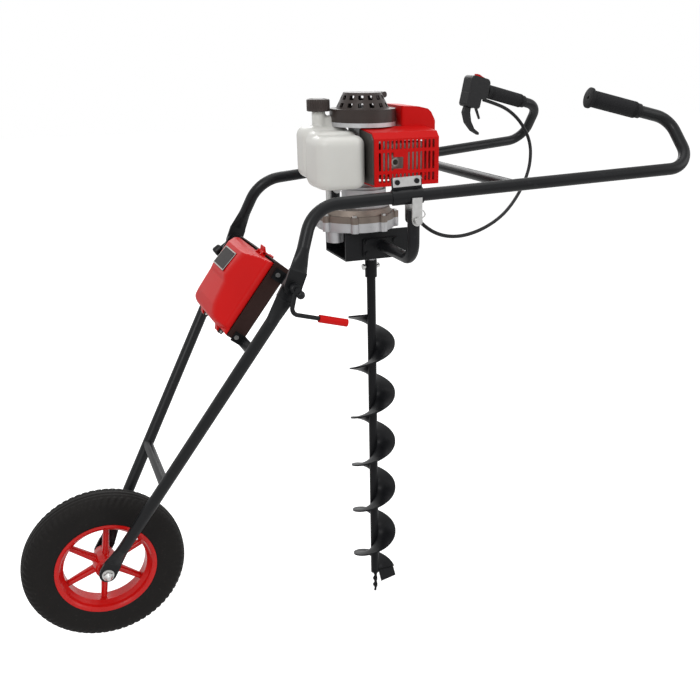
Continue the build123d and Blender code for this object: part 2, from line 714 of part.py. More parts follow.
lid_profile = [(5, LID_RIM), (0, 44), (0, 54), (8, 66), (34, 74), (88, 79), (96, 84), (158, 78),
               (172, 58), (176, LID_RIM)]
lid_side = box_slab(lid_profile, -LID_HALF, LID_HALF)
lid_section = [(-LID_HALF, LID_RIM), (LID_HALF, LID_RIM), (LID_HALF, 46), (48, 86), (-48, 86),
               (-LID_HALF, 46)]
with BuildPart() as lid_prism:
    with BuildSketch(Plane(origin=box_point(-4, 0), x_dir=Y_AXIS, z_dir=tuple(BOX_UP))):
        with BuildLine():
            Polyline(*lid_section, close=True)
        make_face()
    extrude(amount=184)
with BuildPart() as lid_block:
    add(lid_side)
    add(lid_prism.part, mode=Mode.INTERSECT)
rim_face = lid_block.faces().sort_by(Axis(BOX_ORIGIN, tuple(BOX_OUT)))[0]
with lid_block:
    offset(amount=-2.5, openings=rim_face)
knuckles = []
for place in (-70, 70):
    knuckles.append(box_slab([(2, 44), (-8, 38), (-11, 33), (-10, 27), (-3, 27), (-1.2, 34),
                              (-0.6, LID_RIM + 0.4), (4, LID_RIM + 0.4), (4, 44)],
                             place - 9.5, place + 9.5))
knuckle_bore = rod(box_point(*HINGE, -120), box_point(*HINGE, 120), 2.5 + RUN)
tray_room = box_slab(rectangle((-0.4, -5), (TRAY_LENGTH + 1, TRAY_DEPTH + 0.3)), -BOX_HALF, BOX_HALF)
ears = []
for across in (LATCH_Y - 17.5, LATCH_Y + 13.5):
    ears.append(box_slab([(171, 40), (178, 38), (184.5, 40), (184.5, 46.5), (176, 50), (166, 55)],
                         across, across + 4))
latch_bore = rod(box_point(*LATCH, LATCH_Y - 30), box_point(*LATCH, LATCH_Y + 30), 2.0 + RUN)
with BuildPart() as tool_lid:
    add(lid_block.part)
    for piece in knuckles:
        add(piece)
    add(tray_room, mode=Mode.SUBTRACT)
    add(knuckle_bore, mode=Mode.SUBTRACT)
    for piece in ears:
        add(piece)
    add(latch_bore, mode=Mode.SUBTRACT)
finish(tool_lid, "tool_lid")

latch_arm = box_slab([(178.5, 45), (184, 45.5), (193, 50), (194, 47), (186, 40), (184.6, 24), (187, 20),
                      (183, 19), (182.6, 40)], LATCH_Y - 13, LATCH_Y + 13)
latch_pin = rod(box_point(*LATCH, LATCH_Y - 17.5), box_point(*LATCH, LATCH_Y + 17.5), 2.0)
with BuildPart() as lid_latch:
    add(latch_arm)
    add(latch_pin)
finish(lid_latch, "lid_latch")

plate_low, plate_high = (102, 83.5), (148, 79.0)
plate_run = Vector(plate_high[0] - plate_low[0], plate_high[1] - plate_low[1], 0).normalized()
plate_rise = Vector(-plate_run.Y, plate_run.X, 0)
plate_corners = []
for base, lift in ((plate_low, 0.1), (plate_high, 0.1), (plate_high, 1.3), (plate_low, 1.3)):
    plate_corners.append((base[0] + plate_rise.X * lift, base[1] + plate_rise.Y * lift))
plate_body = box_slab(plate_corners, -38, 50)
with BuildPart() as name_plate:
    add(plate_body)
finish(name_plate, "name_plate")

STRAP_HOLE_R = 3.5
bracket_parts = []
for side in (-1, 1):
    lug_out = FORK_EYE_Y - FLAT_T / 2
    spans = sorted((side * BOX_HALF, side * lug_out))
    bar = box_slab(rectangle((pivot_up - 12, 0), (pivot_up + 12, STRAP_T)), *spans)
    lug_spans = sorted((side * (lug_out - STRAP_T), side * lug_out))
    lug = box_slab(rectangle((pivot_up - 12, 0), (pivot_up + 12, pivot_out + 12)), *lug_spans)
    foot_spans = sorted((side * BOX_HALF, side * (BOX_HALF + STRAP_T)))
    foot = box_slab(rectangle((pivot_up - 12, 0), (pivot_up + 12, 26)), *foot_spans)
    bolt_hole = rod((PIVOT_X, side * 200, PIVOT_Z), (PIVOT_X, side * 240, PIVOT_Z), PIVOT_BOLT_R)
    with BuildPart() as upper:
        add(bar)
        add(lug)
        add(foot)
        add(bolt_hole, mode=Mode.SUBTRACT)
    low_spans = sorted((side * BOX_HALF, side * 206))
    low_bar = box_slab(rectangle((-4, 0), (18, STRAP_T)), *low_spans)
    low_foot = box_slab(rectangle((-4, 0), (18, 24)), *foot_spans)
    strap_hole = rod(box_point(7, -4, side * 158), box_point(7, 8, side * 158), STRAP_HOLE_R)
    with BuildPart() as lower:
        add(low_bar)
        add(low_foot)
        add(strap_hole, mode=Mode.SUBTRACT)
        for body in fork_bodies:
            add(body, mode=Mode.SUBTRACT)
    bracket_parts += [upper.part, lower.part]
with BuildPart() as tray_brackets:
    for piece in bracket_parts:
        add(piece)
    add(screw_shanks.part, mode=Mode.SUBTRACT)
finish(tray_brackets, "tray_brackets")

# ---------------------------------------------------------------- cradle and gearbox bracket
PLATE_T = 5.0
BRACKET_X = (-86.0, 77.0)
J_Y = abs(handle_point(0, 1)[1])
J_LEG_Z = 955.0
J_TOP = SWING_Z + 19.0
CRADLE_PLATE_X = (-46.0, 39.0)
CRADLE_PLATE_Z = (932.0, 972.0)
FLANGE_OUT = 15.0

cradle_parts = []
for side in (-1, 1):
    j_path = [(0, side * J_Y, J_TOP), (0, side * J_Y, J_LEG_Z),
              (0, side * (BRACKET_HALF + PLATE_T), J_LEG_Z)]
    j_tube = swept_tube(j_path, [38], TUBE_R, TUBE_R - TUBE_WALL)
    cap = rod((0, side * J_Y, J_TOP - 3), (0, side * J_Y, J_TOP), TUBE_R)
    eye_bore = rod((0, side * (J_Y - 20), SWING_Z), (0, side * (J_Y + 20), SWING_Z), HANGER_PIN_R + RUN)
    with BuildPart() as cradle_tube:
        add(j_tube)
        add(cap)
        add(eye_bore, mode=Mode.SUBTRACT)
    cradle_parts.append(cradle_tube.part)
with BuildPart() as cradle_tubes:
    for piece in cradle_parts:
        add(piece)
finish(cradle_tubes, "cradle_tubes")

with BuildPart() as cradle_plates:
    for side in (-1, 1):
        low_y = min(side * BRACKET_HALF, side * (BRACKET_HALF + PLATE_T))
        with BuildSketch(Plane(origin=(0, low_y, 0), x_dir=(1, 0, 0), z_dir=(0, -1, 0))):
            with Locations((sum(CRADLE_PLATE_X) / 2, sum(CRADLE_PLATE_Z) / 2)):
                RectangleRounded(85, 40, 4)
        extrude(amount=-PLATE_T)
    for side in (-1, 1):
        for x in (-37, 30):
            for z in (939, 965):
                face = side * (BRACKET_HALF + PLATE_T)
                add(rod((x, face, z), (x, face + side * 4.5, z), 5.5))
finish(cradle_plates, "cradle_plates")

with BuildPart() as gearbox_bracket:
    add(block((BRACKET_X[0], -BRACKET_HALF, PLATE_Z), (BRACKET_X[1], BRACKET_HALF, PLATE_Z + 4)))
    for side in (-1, 1):
        wall = sorted((side * (BRACKET_HALF - 4), side * BRACKET_HALF))
        add(block((BRACKET_X[0], wall[0], PLATE_Z), (BRACKET_X[1], wall[1], GEARBOX_BOTTOM)))
        lip = sorted((side * BRACKET_HALF, side * (BRACKET_HALF + FLANGE_OUT)))
        add(block((-78, lip[0], GEARBOX_BOTTOM - 4), (8, lip[1], GEARBOX_BOTTOM)))
    add(disc((0, 0, PLATE_Z - 20), 40, 60), mode=Mode.SUBTRACT)
    add(disc((0, 0, PLATE_Z), 40, 4, 24))
    add(disc((0, 0, PLATE_Z + 4), 26, 12, 17))
    add(disc((0, 0, PLATE_Z), 24, 4, 12.5))
finish(gearbox_bracket, "gearbox_bracket")

CASE_WALL = 4.0
RIM_BOLTS = 8
OIL_BOSS = (-96.0, -26.0)
rim_bolt_spots = []
for index in range(RIM_BOLTS):
    angle = math.radians(360 / RIM_BOLTS * index + 22.5)
    rim_bolt_spots.append((GEARBOX_X + 88 * math.cos(angle), 88 * math.sin(angle)))
with BuildPart() as gearbox_lower:
    with BuildSketch(Plane.XY.offset(GEARBOX_BOTTOM)):
        with Locations((GEARBOX_X, 0)):
            Circle(GEARBOX_R)
        with Locations(*rim_bolt_spots):
            Circle(9)
    extrude(amount=GEARBOX_SPLIT - GEARBOX_BOTTOM)
    with BuildSketch(Plane.XY.offset(GEARBOX_BOTTOM + 5)):
        with Locations((GEARBOX_X, 0)):
            Circle(GEARBOX_R - CASE_WALL)
    extrude(amount=40, mode=Mode.SUBTRACT)
    with BuildSketch(Plane.XY.offset(GEARBOX_BOTTOM - 14)):
        Circle(22)
    extrude(amount=14)
    with BuildSketch(Plane.XY.offset(GEARBOX_BOTTOM - 10)):
        with Locations((LAY_X, 0)):
            Circle(14)
    extrude(amount=15.5)
    with BuildSketch(Plane.XY.offset(GEARBOX_BOTTOM - 26)):
        with Locations(OIL_BOSS):
            Circle(19)
    extrude(amount=26)
    with BuildSketch(Plane.XY.offset(GEARBOX_BOTTOM - 12)):
        Circle(17)
    extrude(amount=12, mode=Mode.SUBTRACT)
    with BuildSketch(Plane.XY.offset(GEARBOX_BOTTOM - 20)):
        Circle(12.5)
    extrude(amount=40, mode=Mode.SUBTRACT)
    with BuildSketch(Plane.XY.offset(GEARBOX_BOTTOM - 6)):
        with Locations((LAY_X, 0)):
            Circle(6 + RUN)
    extrude(amount=30, mode=Mode.SUBTRACT)
    with BuildSketch(Plane.XY.offset(GEARBOX_BOTTOM - 1)):
        with Locations(*rim_bolt_spots):
            Circle(3)
    extrude(amount=40, mode=Mode.SUBTRACT)
finish(gearbox_lower, "gearbox_lower")

with BuildPart() as gearbox_upper:
    with BuildSketch(Plane.XY.offset(GEARBOX_SPLIT)):
        with Locations((GEARBOX_X, 0)):
            Circle(GEARBOX_R)
        with Locations(*rim_bolt_spots):
            Circle(9)
    extrude(amount=14)
    with BuildSketch(Plane.XY.offset(GEARBOX_SPLIT + 14)):
        with Locations((GEARBOX_X, 0)):
            Circle(GEARBOX_R - 6)
    extrude(amount=GEARBOX_TOP - GEARBOX_SPLIT - 14, taper=20)
    with BuildSketch(Plane.XY.offset(GEARBOX_SPLIT)):
        with Locations((GEARBOX_X, 0)):
            Circle(GEARBOX_R - 13)
    extrude(amount=GEARBOX_TOP - GEARBOX_SPLIT - 5, mode=Mode.SUBTRACT)
    with BuildSketch(Plane.XY.offset(GEARBOX_SPLIT)):
        with Locations((CRANK_X, 0)):
            Circle(9)
    extrude(amount=60, mode=Mode.SUBTRACT)
    with BuildSketch(Plane.XY.offset(GEARBOX_SPLIT)):
        with Locations((GEARBOX_X, 0)):
            Circle(GEARBOX_R - CASE_WALL)
    extrude(amount=2, mode=Mode.SUBTRACT)
    with BuildSketch(Plane.XY.offset(GEARBOX_TOP - 14)):
        with Locations((LAY_X, 0)):
            Circle(12)
    extrude(amount=10)
    with BuildSketch(Plane.XY.offset(GEARBOX_SPLIT)):
        with Locations((LAY_X, 0)):
            Circle(6 + RUN)
    extrude(amount=GEARBOX_TOP - GEARBOX_SPLIT - 4, mode=Mode.SUBTRACT)
    with BuildSketch(Plane.XY.offset(GEARBOX_SPLIT - 1)):
        with Locations(*rim_bolt_spots):
            Circle(3)
    extrude(amount=40, mode=Mode.SUBTRACT)
finish(gearbox_upper, "gearbox_upper")

with BuildPart() as gearbox_bolts:
    for x, y in rim_bolt_spots:
        add(disc((x, y, GEARBOX_BOTTOM), 3.0, GEARBOX_SPLIT + 14 - GEARBOX_BOTTOM))
        with BuildSketch(Plane(origin=(x, y, GEARBOX_SPLIT + 14))):
            RegularPolygon(5.5, 6)
        extrude(amount=4)
    add(rod((-99, 0, GEARBOX_TOP), (-99, 0, TANK_LOW), 6.0))
    add(disc((-99, 0, GEARBOX_TOP), 9, 4))
finish(gearbox_bolts, "gearbox_bolts")

with BuildPart() as shaft_bearings:
    add(disc((0, 0, GEARBOX_BOTTOM - 12), 17, 10, SHAFT_R + RUN))
    add(disc((0, 0, PLATE_Z + 5), 17, 10, SHAFT_R + RUN))
    add(disc((CRANK_X, 0, GEARBOX_TOP - 5), 9, 5, CLUTCH_SHAFT_R + RUN))
finish(shaft_bearings, "shaft_bearings")

# ---------------------------------------------------------------- gear train
BIG_GEAR = (42, 2.0)
LAY_PINION = (12, 2.0)
LAY_GEAR = (42, 1.5)
CRANK_PINION = (10, 1.5)
half_step = 180 / BIG_GEAR[0]
output_gear_body = spur_gear((0, 0), *BIG_GEAR, 997, 1007, SHAFT_R, half_step)
with BuildPart() as output_shaft:
    add(disc((0, 0, 880), SHAFT_R, 128.5))
    add(output_gear_body)
finish(output_shaft, "output_shaft")

lay_pinion_body = spur_gear((LAY_X, 0), *LAY_PINION, 996.5, 1011, 0, 0)
lay_gear_body = spur_gear((LAY_X, 0), *LAY_GEAR, 1012.5, 1020.5, 0, 0)
with BuildPart() as intermediate_gear:
    add(disc((LAY_X, 0, GEARBOX_BOTTOM - 5), 6, 46))
    add(lay_pinion_body)
    add(lay_gear_body)
finish(intermediate_gear, "intermediate_gear")

DRUM_R = 40.0
pinion_body = spur_gear((CRANK_X, 0), *CRANK_PINION, 1011.5, 1023, 0, 180 / CRANK_PINION[0])
with BuildPart() as clutch_drum:
    add(pinion_body)
    add(disc((CRANK_X, 0, 1023), CLUTCH_SHAFT_R, 22))
    add(disc((CRANK_X, 0, 1042), DRUM_R, 3))
    add(disc((CRANK_X, 0, 1042), DRUM_R, 24, DRUM_R - 3))
finish(clutch_drum, "clutch_drum")

# ---------------------------------------------------------------- engine core
BELL_TOP = 1074.0
CRANKCASE_TOP = 1209.0
FAN_TOP = 1218.0
RECOIL_TOP = 1278.0
CRANK_R = 7.0

with BuildPart() as clutch_housing:
    add(disc((CRANK_X, 0, GEARBOX_TOP), 56, 6, DRUM_R + 6))
    add(disc((CRANK_X, 0, GEARBOX_TOP), 50, BELL_TOP - GEARBOX_TOP, DRUM_R + 6))
    add(disc((CRANK_X, 0, BELL_TOP - 5), 50, 5, CRANK_R + 1))
finish(clutch_housing, "clutch_housing")

with BuildPart() as crankcase:
    add(disc((CRANK_X, 0, BELL_TOP), 32, CRANKCASE_TOP - BELL_TOP))
    add(block((CRANK_X + 10, -26, 1108), (CRANK_X + 38, 26, 1172)))
    add(disc((CRANK_X, 0, BELL_TOP), 44, 6))
    add(disc((CRANK_X, 0, CRANKCASE_TOP), 72, FAN_TOP - CRANKCASE_TOP, 68))
    add(disc((CRANK_X, 0, CRANKCASE_TOP), 72, 4))
    add(disc((CRANK_X, 0, BELL_TOP), CRANK_R + RUN, 200), mode=Mode.SUBTRACT)
    add(disc((CRANK_X, 0, BELL_TOP + 12), 25, 98), mode=Mode.SUBTRACT)
    add(rod((CRANK_X, 0, 1140), (CRANK_X + 60, 0, 1140), 19), mode=Mode.SUBTRACT)
finish(crankcase, "crankcase")

with BuildPart() as crankshaft:
    add(disc((CRANK_X, 0, 1046.5), CRANK_R, 1252 - 1046.5))
    add(disc((CRANK_X, 0, 1118), 22, 12))
    add(disc((CRANK_X, 0, 1150), 22, 12))
    for side in (-1, 1):
        with BuildSketch(Plane.XY.offset(1047)):
            with Locations((CRANK_X, 0)):
                Circle(DRUM_R - 4.5)
                Rectangle(3, 90, mode=Mode.SUBTRACT)
            with Locations((CRANK_X - side * 60, 0)):
                Rectangle(120, 100, mode=Mode.SUBTRACT)
        extrude(amount=16)
    add(disc((CRANK_X, 0, 1215), 54, 7))
    for index in range(12):
        angle = math.radians(30 * index)
        spot = (CRANK_X + 45 * math.cos(angle), 45 * math.sin(angle), 1222)
        with BuildSketch(Plane(origin=spot, x_dir=(math.cos(angle), math.sin(angle), 0))):
            Rectangle(16, 2)
        extrude(amount=14)
finish(crankshaft, "crankshaft")

FINS = 7
CYLINDER_END = 92.0
with BuildPart() as cylinder:
    add(rod((CRANK_X + 38, 0, 1140), (CYLINDER_END, 0, 1140), 25, 19))
    for index in range(FINS):
        x = 32 + index * 9
        add(block((x, -34, 1108), (x + 3, 34, 1172)))
    add(rod((CRANK_X + 38, 0, 1140), (CYLINDER_END - 6, 0, 1140), 19), mode=Mode.SUBTRACT)
    add(rod((CYLINDER_END - 8, 0, 1140), (CYLINDER_END, 0, 1140), 25))
    add(rod((CYLINDER_END - 20, 0, 1140), (CYLINDER_END + 5, 0, 1140), 6), mode=Mode.SUBTRACT)
finish(cylinder, "cylinder")

with BuildPart() as spark_plug:
    add(rod((CYLINDER_END - 8, 0, 1140), (CYLINDER_END + 12, 0, 1140), 6))
    add(rod((CYLINDER_END + 0.2, 0, 1140), (CYLINDER_END + 6, 0, 1140), 9))
    add(rod((CYLINDER_END + 6, 0, 1140), (CYLINDER_END + 20, 0, 1140), 4))
    add(rod((CYLINDER_END + 8, 0, 1140), (CYLINDER_END + 34, 0, 1140), 9.5))
    add(rod((CYLINDER_END + 25, 0, 1140), (CYLINDER_END + 25, 0, 1166), 7))
finish(spark_plug, "spark_plug")

DRUM_TOP = 1245.0
WINDOWS = 9
VENTS = 14
with BuildPart() as recoil_housing:
    with BuildSketch(Plane.XY.offset(FAN_TOP)):
        with Locations((CRANK_X, 0)):
            Circle(72)
    extrude(amount=DRUM_TOP - FAN_TOP)
    with BuildSketch(Plane.XY.offset(DRUM_TOP)):
        with Locations((CRANK_X, 0)):
            Circle(58)
    with BuildSketch(Plane.XY.offset(RECOIL_TOP)):
        with Locations((CRANK_X, 0)):
            Circle(41)
    loft()
    with BuildSketch(Plane.XY.offset(FAN_TOP)):
        with Locations((CRANK_X, 0)):
            Circle(68.5)
    extrude(amount=DRUM_TOP - FAN_TOP - 3, mode=Mode.SUBTRACT)
    with BuildSketch(Plane.XY.offset(FAN_TOP)):
        with Locations((CRANK_X, 0)):
            Circle(54)
    extrude(amount=DRUM_TOP - FAN_TOP + 2, mode=Mode.SUBTRACT)
    with BuildSketch(Plane.XY.offset(DRUM_TOP)):
        with Locations((CRANK_X, 0)):
            Circle(54)
    with BuildSketch(Plane.XY.offset(RECOIL_TOP - 3)):
        with Locations((CRANK_X, 0)):
            Circle(38.5)
    loft(mode=Mode.SUBTRACT)
    for index in range(VENTS):
        angle = math.radians(360 / VENTS * (index + 0.5))
        outwards = (math.cos(angle), math.sin(angle), 0)
        for height, reach in ((1252.5, 57), (1268, 49)):
            spot = (CRANK_X + outwards[0] * (reach - 12), outwards[1] * (reach - 12), height)
            with BuildSketch(Plane(origin=spot, x_dir=(-outwards[1], outwards[0], 0), z_dir=outwards)):
                RectangleRounded(11, 9, 1.5)
            extrude(amount=22, mode=Mode.SUBTRACT)
PULL = Vector(0.84, 0.26, 0.476).normalized()
PULL_START = (30.0, 40.0, 1262.0)
pull_face = Vector(*PULL_START) + PULL * 3
with recoil_housing:
    add(rod(tuple(Vector(*PULL_START) - PULL * 9), tuple(pull_face), 6.5))
    add(rod(tuple(Vector(*PULL_START) - PULL * 25), tuple(pull_face), 2.4), mode=Mode.SUBTRACT)
finish(recoil_housing, "recoil_housing")

with BuildPart() as starter_handle:
    add(rod(tuple(pull_face + PULL * GAP), tuple(pull_face + PULL * 13), 7.0))
    across_pull = PULL.cross(Vector(0, 0, 1)).normalized()
    bar_middle = pull_face + PULL * 15
    add(rod(tuple(bar_middle - across_pull * 17), tuple(bar_middle + across_pull * 17), 6.5))
    add(rod(tuple(Vector(*PULL_START) - PULL * 5), tuple(pull_face + PULL * 5), 2.0))
finish(starter_handle, "starter_handle")

# ---------------------------------------------------------------- covers, muffler, intake
SHROUD = ((46.0, -44.0, 1180.0), (142.0, 64.0, 1248.0))
with BuildPart() as top_shroud:
    with BuildSketch(Plane(origin=(0, SHROUD[1][1], 0), x_dir=(1, 0, 0), z_dir=(0, -1, 0))):
        with BuildLine():
            Polyline((60, 1180), (60, 1250), (100, 1248), (122, 1243), (130, 1236), (142, 1214),
                     (142, 1180), close=True)
        make_face()
    extrude(amount=SHROUD[1][1] - SHROUD[0][1])
    fillet(top_shroud.edges().filter_by(Axis.Z), 6)
    under = top_shroud.faces().sort_by(Axis.Z)[0]
    offset(amount=-2.5, openings=under)
    add(disc((CRANK_X, 0, 1170), 72, 100), mode=Mode.SUBTRACT)
    add(block((56, -36, 1170), (140, 56, 1190)), mode=Mode.SUBTRACT)
finish(top_shroud, "top_shroud")

with BuildPart() as muffler:
    add(block((-14, -98, 1104), (92, -52, 1178), 10))
    add(rod((60, -52, 1140), (60, -34, 1140), 11))
    add(rod((16, -106, 1140), (16, -90, 1140), 9, 6))
    add(block((2, -101, 1124), (34, -98, 1156)))
    add(rod((16, -110, 1140), (16, -80, 1140), 6), mode=Mode.SUBTRACT)
finish(muffler, "muffler")

COVER_X = (-38.0, 112.0)
COVER_FACE_Y = -120.0
SLOT_COLUMNS = 14
with BuildPart() as muffler_cover:
    with BuildSketch(Plane(origin=(COVER_X[0], 0, 0), x_dir=Y_AXIS, z_dir=(1, 0, 0))):
        with BuildLine():
            Polyline((-120, 1092), (-120, 1190), (-108, 1202), (-44, 1208), (-44, 1205), (-107, 1199),
                     (-117, 1189), (-117, 1095), (-60, 1095), (-60, 1092), close=True)
        make_face()
    extrude(amount=COVER_X[1] - COVER_X[0])
    with BuildSketch(Plane(origin=(COVER_X[1] - 3, 0, 0), x_dir=Y_AXIS, z_dir=(1, 0, 0))):
        with BuildLine():
            Polyline((-120, 1092), (-120, 1190), (-108, 1202), (-44, 1208), (-44, 1092), close=True)
        make_face()
    extrude(amount=3)
    slot_step = (COVER_X[1] - COVER_X[0] - 16) / SLOT_COLUMNS
    for low, high in ((1100, 1118), (1124, 1162), (1168, 1186)):
        with BuildSketch(Plane(origin=(COVER_X[0] + 8, -112, 0), x_dir=(1, 0, 0), z_dir=(0, -1, 0))):
            for column in range(SLOT_COLUMNS):
                if low < 1140 < high and column in (4, 5, 6):
                    continue
                with Locations(((column + 0.5) * slot_step, (low + high) / 2)):
                    SlotOverall(high - low, 5.2, rotation=90)
        extrude(amount=20, mode=Mode.SUBTRACT)
    with BuildSketch(Plane(origin=(16, -112, 1140), x_dir=(1, 0, 0), z_dir=(0, -1, 0))):
        RectangleRounded(26, 24, 3)
    extrude(amount=20, mode=Mode.SUBTRACT)
    for x in (0, 78):
        add(rod((x, -118, 1114), (x, -98, 1114), 4))
finish(muffler_cover, "muffler_cover")

with BuildPart() as side_guard:
    with BuildSketch(Plane(origin=(COVER_X[0] - 2.5, 0, 0), x_dir=Y_AXIS, z_dir=(1, 0, 0))):
        with BuildLine():
            Polyline((-118, 1096), (-118, 1188), (-107, 1199), (-44, 1205), (-44, 1096), close=True)
        make_face()
    extrude(amount=2.5)
finish(side_guard, "side_guard")

CHOKE_PIN_R = 3.0
with BuildPart() as carburettor:
    add(block((56, 42, 1112), (92, 84, 1150), 4))
    add(rod((66, 34, 1132), (66, 50, 1132), 12))
    add(rod((103, 50, 1052.4), (103, 50, 1096), 5))
    add(block((84, 44, 1092), (110, 56, 1124)))
    add(throttle_cable.part, mode=Mode.SUBTRACT)
    add(rod((56, 64, 1140), (44, 64, 1140), CHOKE_PIN_R))
finish(carburettor, "carburettor")

with BuildPart() as air_filter:
    add(block((40, 84.0, 1088), (112, 120, 1160), 10))
    fillet(air_filter.edges().group_by(Axis.Z)[-1], 6)
finish(air_filter, "air_filter")

with BuildPart() as choke_lever:
    add(rod((53, 64, 1140), (49, 64, 1140), 6.5))
    with BuildSketch(Plane(origin=(49, 0, 0), x_dir=Y_AXIS, z_dir=(1, 0, 0))):
        with BuildLine():
            Polyline((60, 1144), (58, 1162), (70, 1162), (68, 1144), close=True)
        make_face()
    extrude(amount=4)
    add(rod((40, 64, 1140), (60, 64, 1140), CHOKE_PIN_R + RUN), mode=Mode.SUBTRACT)
finish(choke_lever, "choke_lever")

# ---------------------------------------------------------------- fuel tank
TANK_X = (-153.0, -50.0)
TANK_Y = (-100.0, 62.0)
CAP_SPOT = (-112.0, 12.0)
with BuildPart() as fuel_tank:
    with BuildSketch(Plane.XY.offset(TANK_LOW)):
        with Locations((sum(TANK_X) / 2, sum(TANK_Y) / 2)):
            RectangleRounded(TANK_X[1] - TANK_X[0], TANK_Y[1] - TANK_Y[0], 30)
    extrude(amount=TANK_HIGH - TANK_LOW)
    add(block((-170, 20, TANK_LOW - 5), (-60, 90, TANK_LOW + 26)), mode=Mode.SUBTRACT)
    fillet(fuel_tank.edges().group_by(Axis.Z)[-1], 12)
    with BuildSketch(Plane.XY.offset(TANK_HIGH - 8)):
        with Locations(CAP_SPOT):
            RectangleRounded(44, 64, 14)
    extrude(amount=36)
    with BuildSketch(Plane.XY.offset(TANK_HIGH)):
        with Locations(CAP_SPOT):
            Circle(19)
    extrude(amount=48)
    with BuildSketch(Plane.XY.offset(TANK_LOW + 30)):
        with Locations((sum(TANK_X) / 2, sum(TANK_Y) / 2)):
            RectangleRounded(TANK_X[1] - TANK_X[0] - 6, TANK_Y[1] - TANK_Y[0] - 6, 27)
    extrude(amount=TANK_HIGH - TANK_LOW - 36, mode=Mode.SUBTRACT)
    with BuildSketch(Plane.XY.offset(TANK_HIGH - 8)):
        with Locations(CAP_SPOT):
            Circle(15)
    extrude(amount=80, mode=Mode.SUBTRACT)
finish(fuel_tank, "fuel_tank")

CAP_LOW = TANK_HIGH + 48
with BuildPart() as fuel_cap:
    add(disc((*CAP_SPOT, CAP_LOW + GAP), 25, 26))
    add(disc((*CAP_SPOT, CAP_LOW - 14), 14.5, 15))
finish(fuel_cap, "fuel_cap")


# ---------------------------------------------------------------- bit
COLLAR_LOW, COLLAR_TOP = 868.0, 908.0
TUBE_LOW = 60.0
with BuildPart() as bit_tube:
    add(disc((0, 0, COLLAR_LOW), COLLAR_R, COLLAR_TOP - COLLAR_LOW, SHAFT_R))
    add(disc((0, 0, COLLAR_LOW), COLLAR_R, 10))
    add(disc((0, 0, TUBE_LOW), BIT_TUBE_R, COLLAR_LOW - TUBE_LOW, BIT_TUBE_R - 3))
    add(disc((0, 0, TUBE_LOW), BIT_TUBE_R, 8))
    add(rod((-30, 0, 893), (30, 0, 893), 4.0), mode=Mode.SUBTRACT)
with output_shaft:
    add(rod((-30, 0, 893), (30, 0, 893), 4.0), mode=Mode.SUBTRACT)
finish(output_shaft, "output_shaft")

with BuildPart() as drive_pin:
    add(rod((-17, 0, 893), (21, 0, 893), 4.0))
    add(rod((-21, 0, 893), (-16.9, 0, 893), 7.0))
clip_path = [(18.4, -6, 898.4), (18.4, 10, 898.4), (18.4, 24, 904), (18.4, 28, 893), (18.4, 18, 886.6),
             (18.4, 4, 887.6)]
clip_bar = swept_tube(clip_path, [5, 4, 5, 6], 1.2)
with drive_pin:
    add(clip_bar)
finish(drive_pin, "drive_pin")

FLIGHT_T = 4.0
with BuildPart() as bit_flight:
    with BuildLine() as spiral:
        Helix(BIT_PITCH, FLIGHT_TOP - FLIGHT_BOTTOM, (BIT_R + BIT_TUBE_R) / 2, center=(0, 0, FLIGHT_BOTTOM))
    with BuildSketch(Plane(origin=spiral.line @ 0, x_dir=(1, 0, 0), z_dir=spiral.line % 0)):
        Rectangle(BIT_R - BIT_TUBE_R + 1.0, FLIGHT_T)
    sweep(is_frenet=True)
    add(disc((0, 0, FLIGHT_BOTTOM - 50), BIT_TUBE_R, FLIGHT_TOP), mode=Mode.SUBTRACT)
finish(bit_flight, "bit_flight")

with BuildPart() as cutting_blade:
    with BuildSketch(Plane(origin=(33, 2, FLIGHT_BOTTOM - 2.2), x_dir=(1, 0, 0), z_dir=(0, -0.75, 0.66))):
        with BuildLine():
            Polyline((-21.5, 0), (21, 0), (21, -24), (-21.5, -30), close=True)
        make_face()
    extrude(amount=-4)
finish(cutting_blade, "cutting_blade")

POINT_STEPS = 13
POINT_W, POINT_T = 12.0, 5.0
POINT_TWIST = -46.0      # degrees from one section to the next
with bit_tube:
    for index in range(POINT_STEPS):
        taper = min(1.0, 0.45 + 0.2 * (POINT_STEPS - 1 - index))
        with BuildSketch(Plane.XY.offset(TUBE_LOW - TUBE_LOW * index / (POINT_STEPS - 1))):
            Rectangle(POINT_W * taper, POINT_T * taper, rotation=POINT_TWIST * index)
    loft(ruled=True)
finish(bit_tube, "bit_tube")
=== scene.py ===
import json
import math

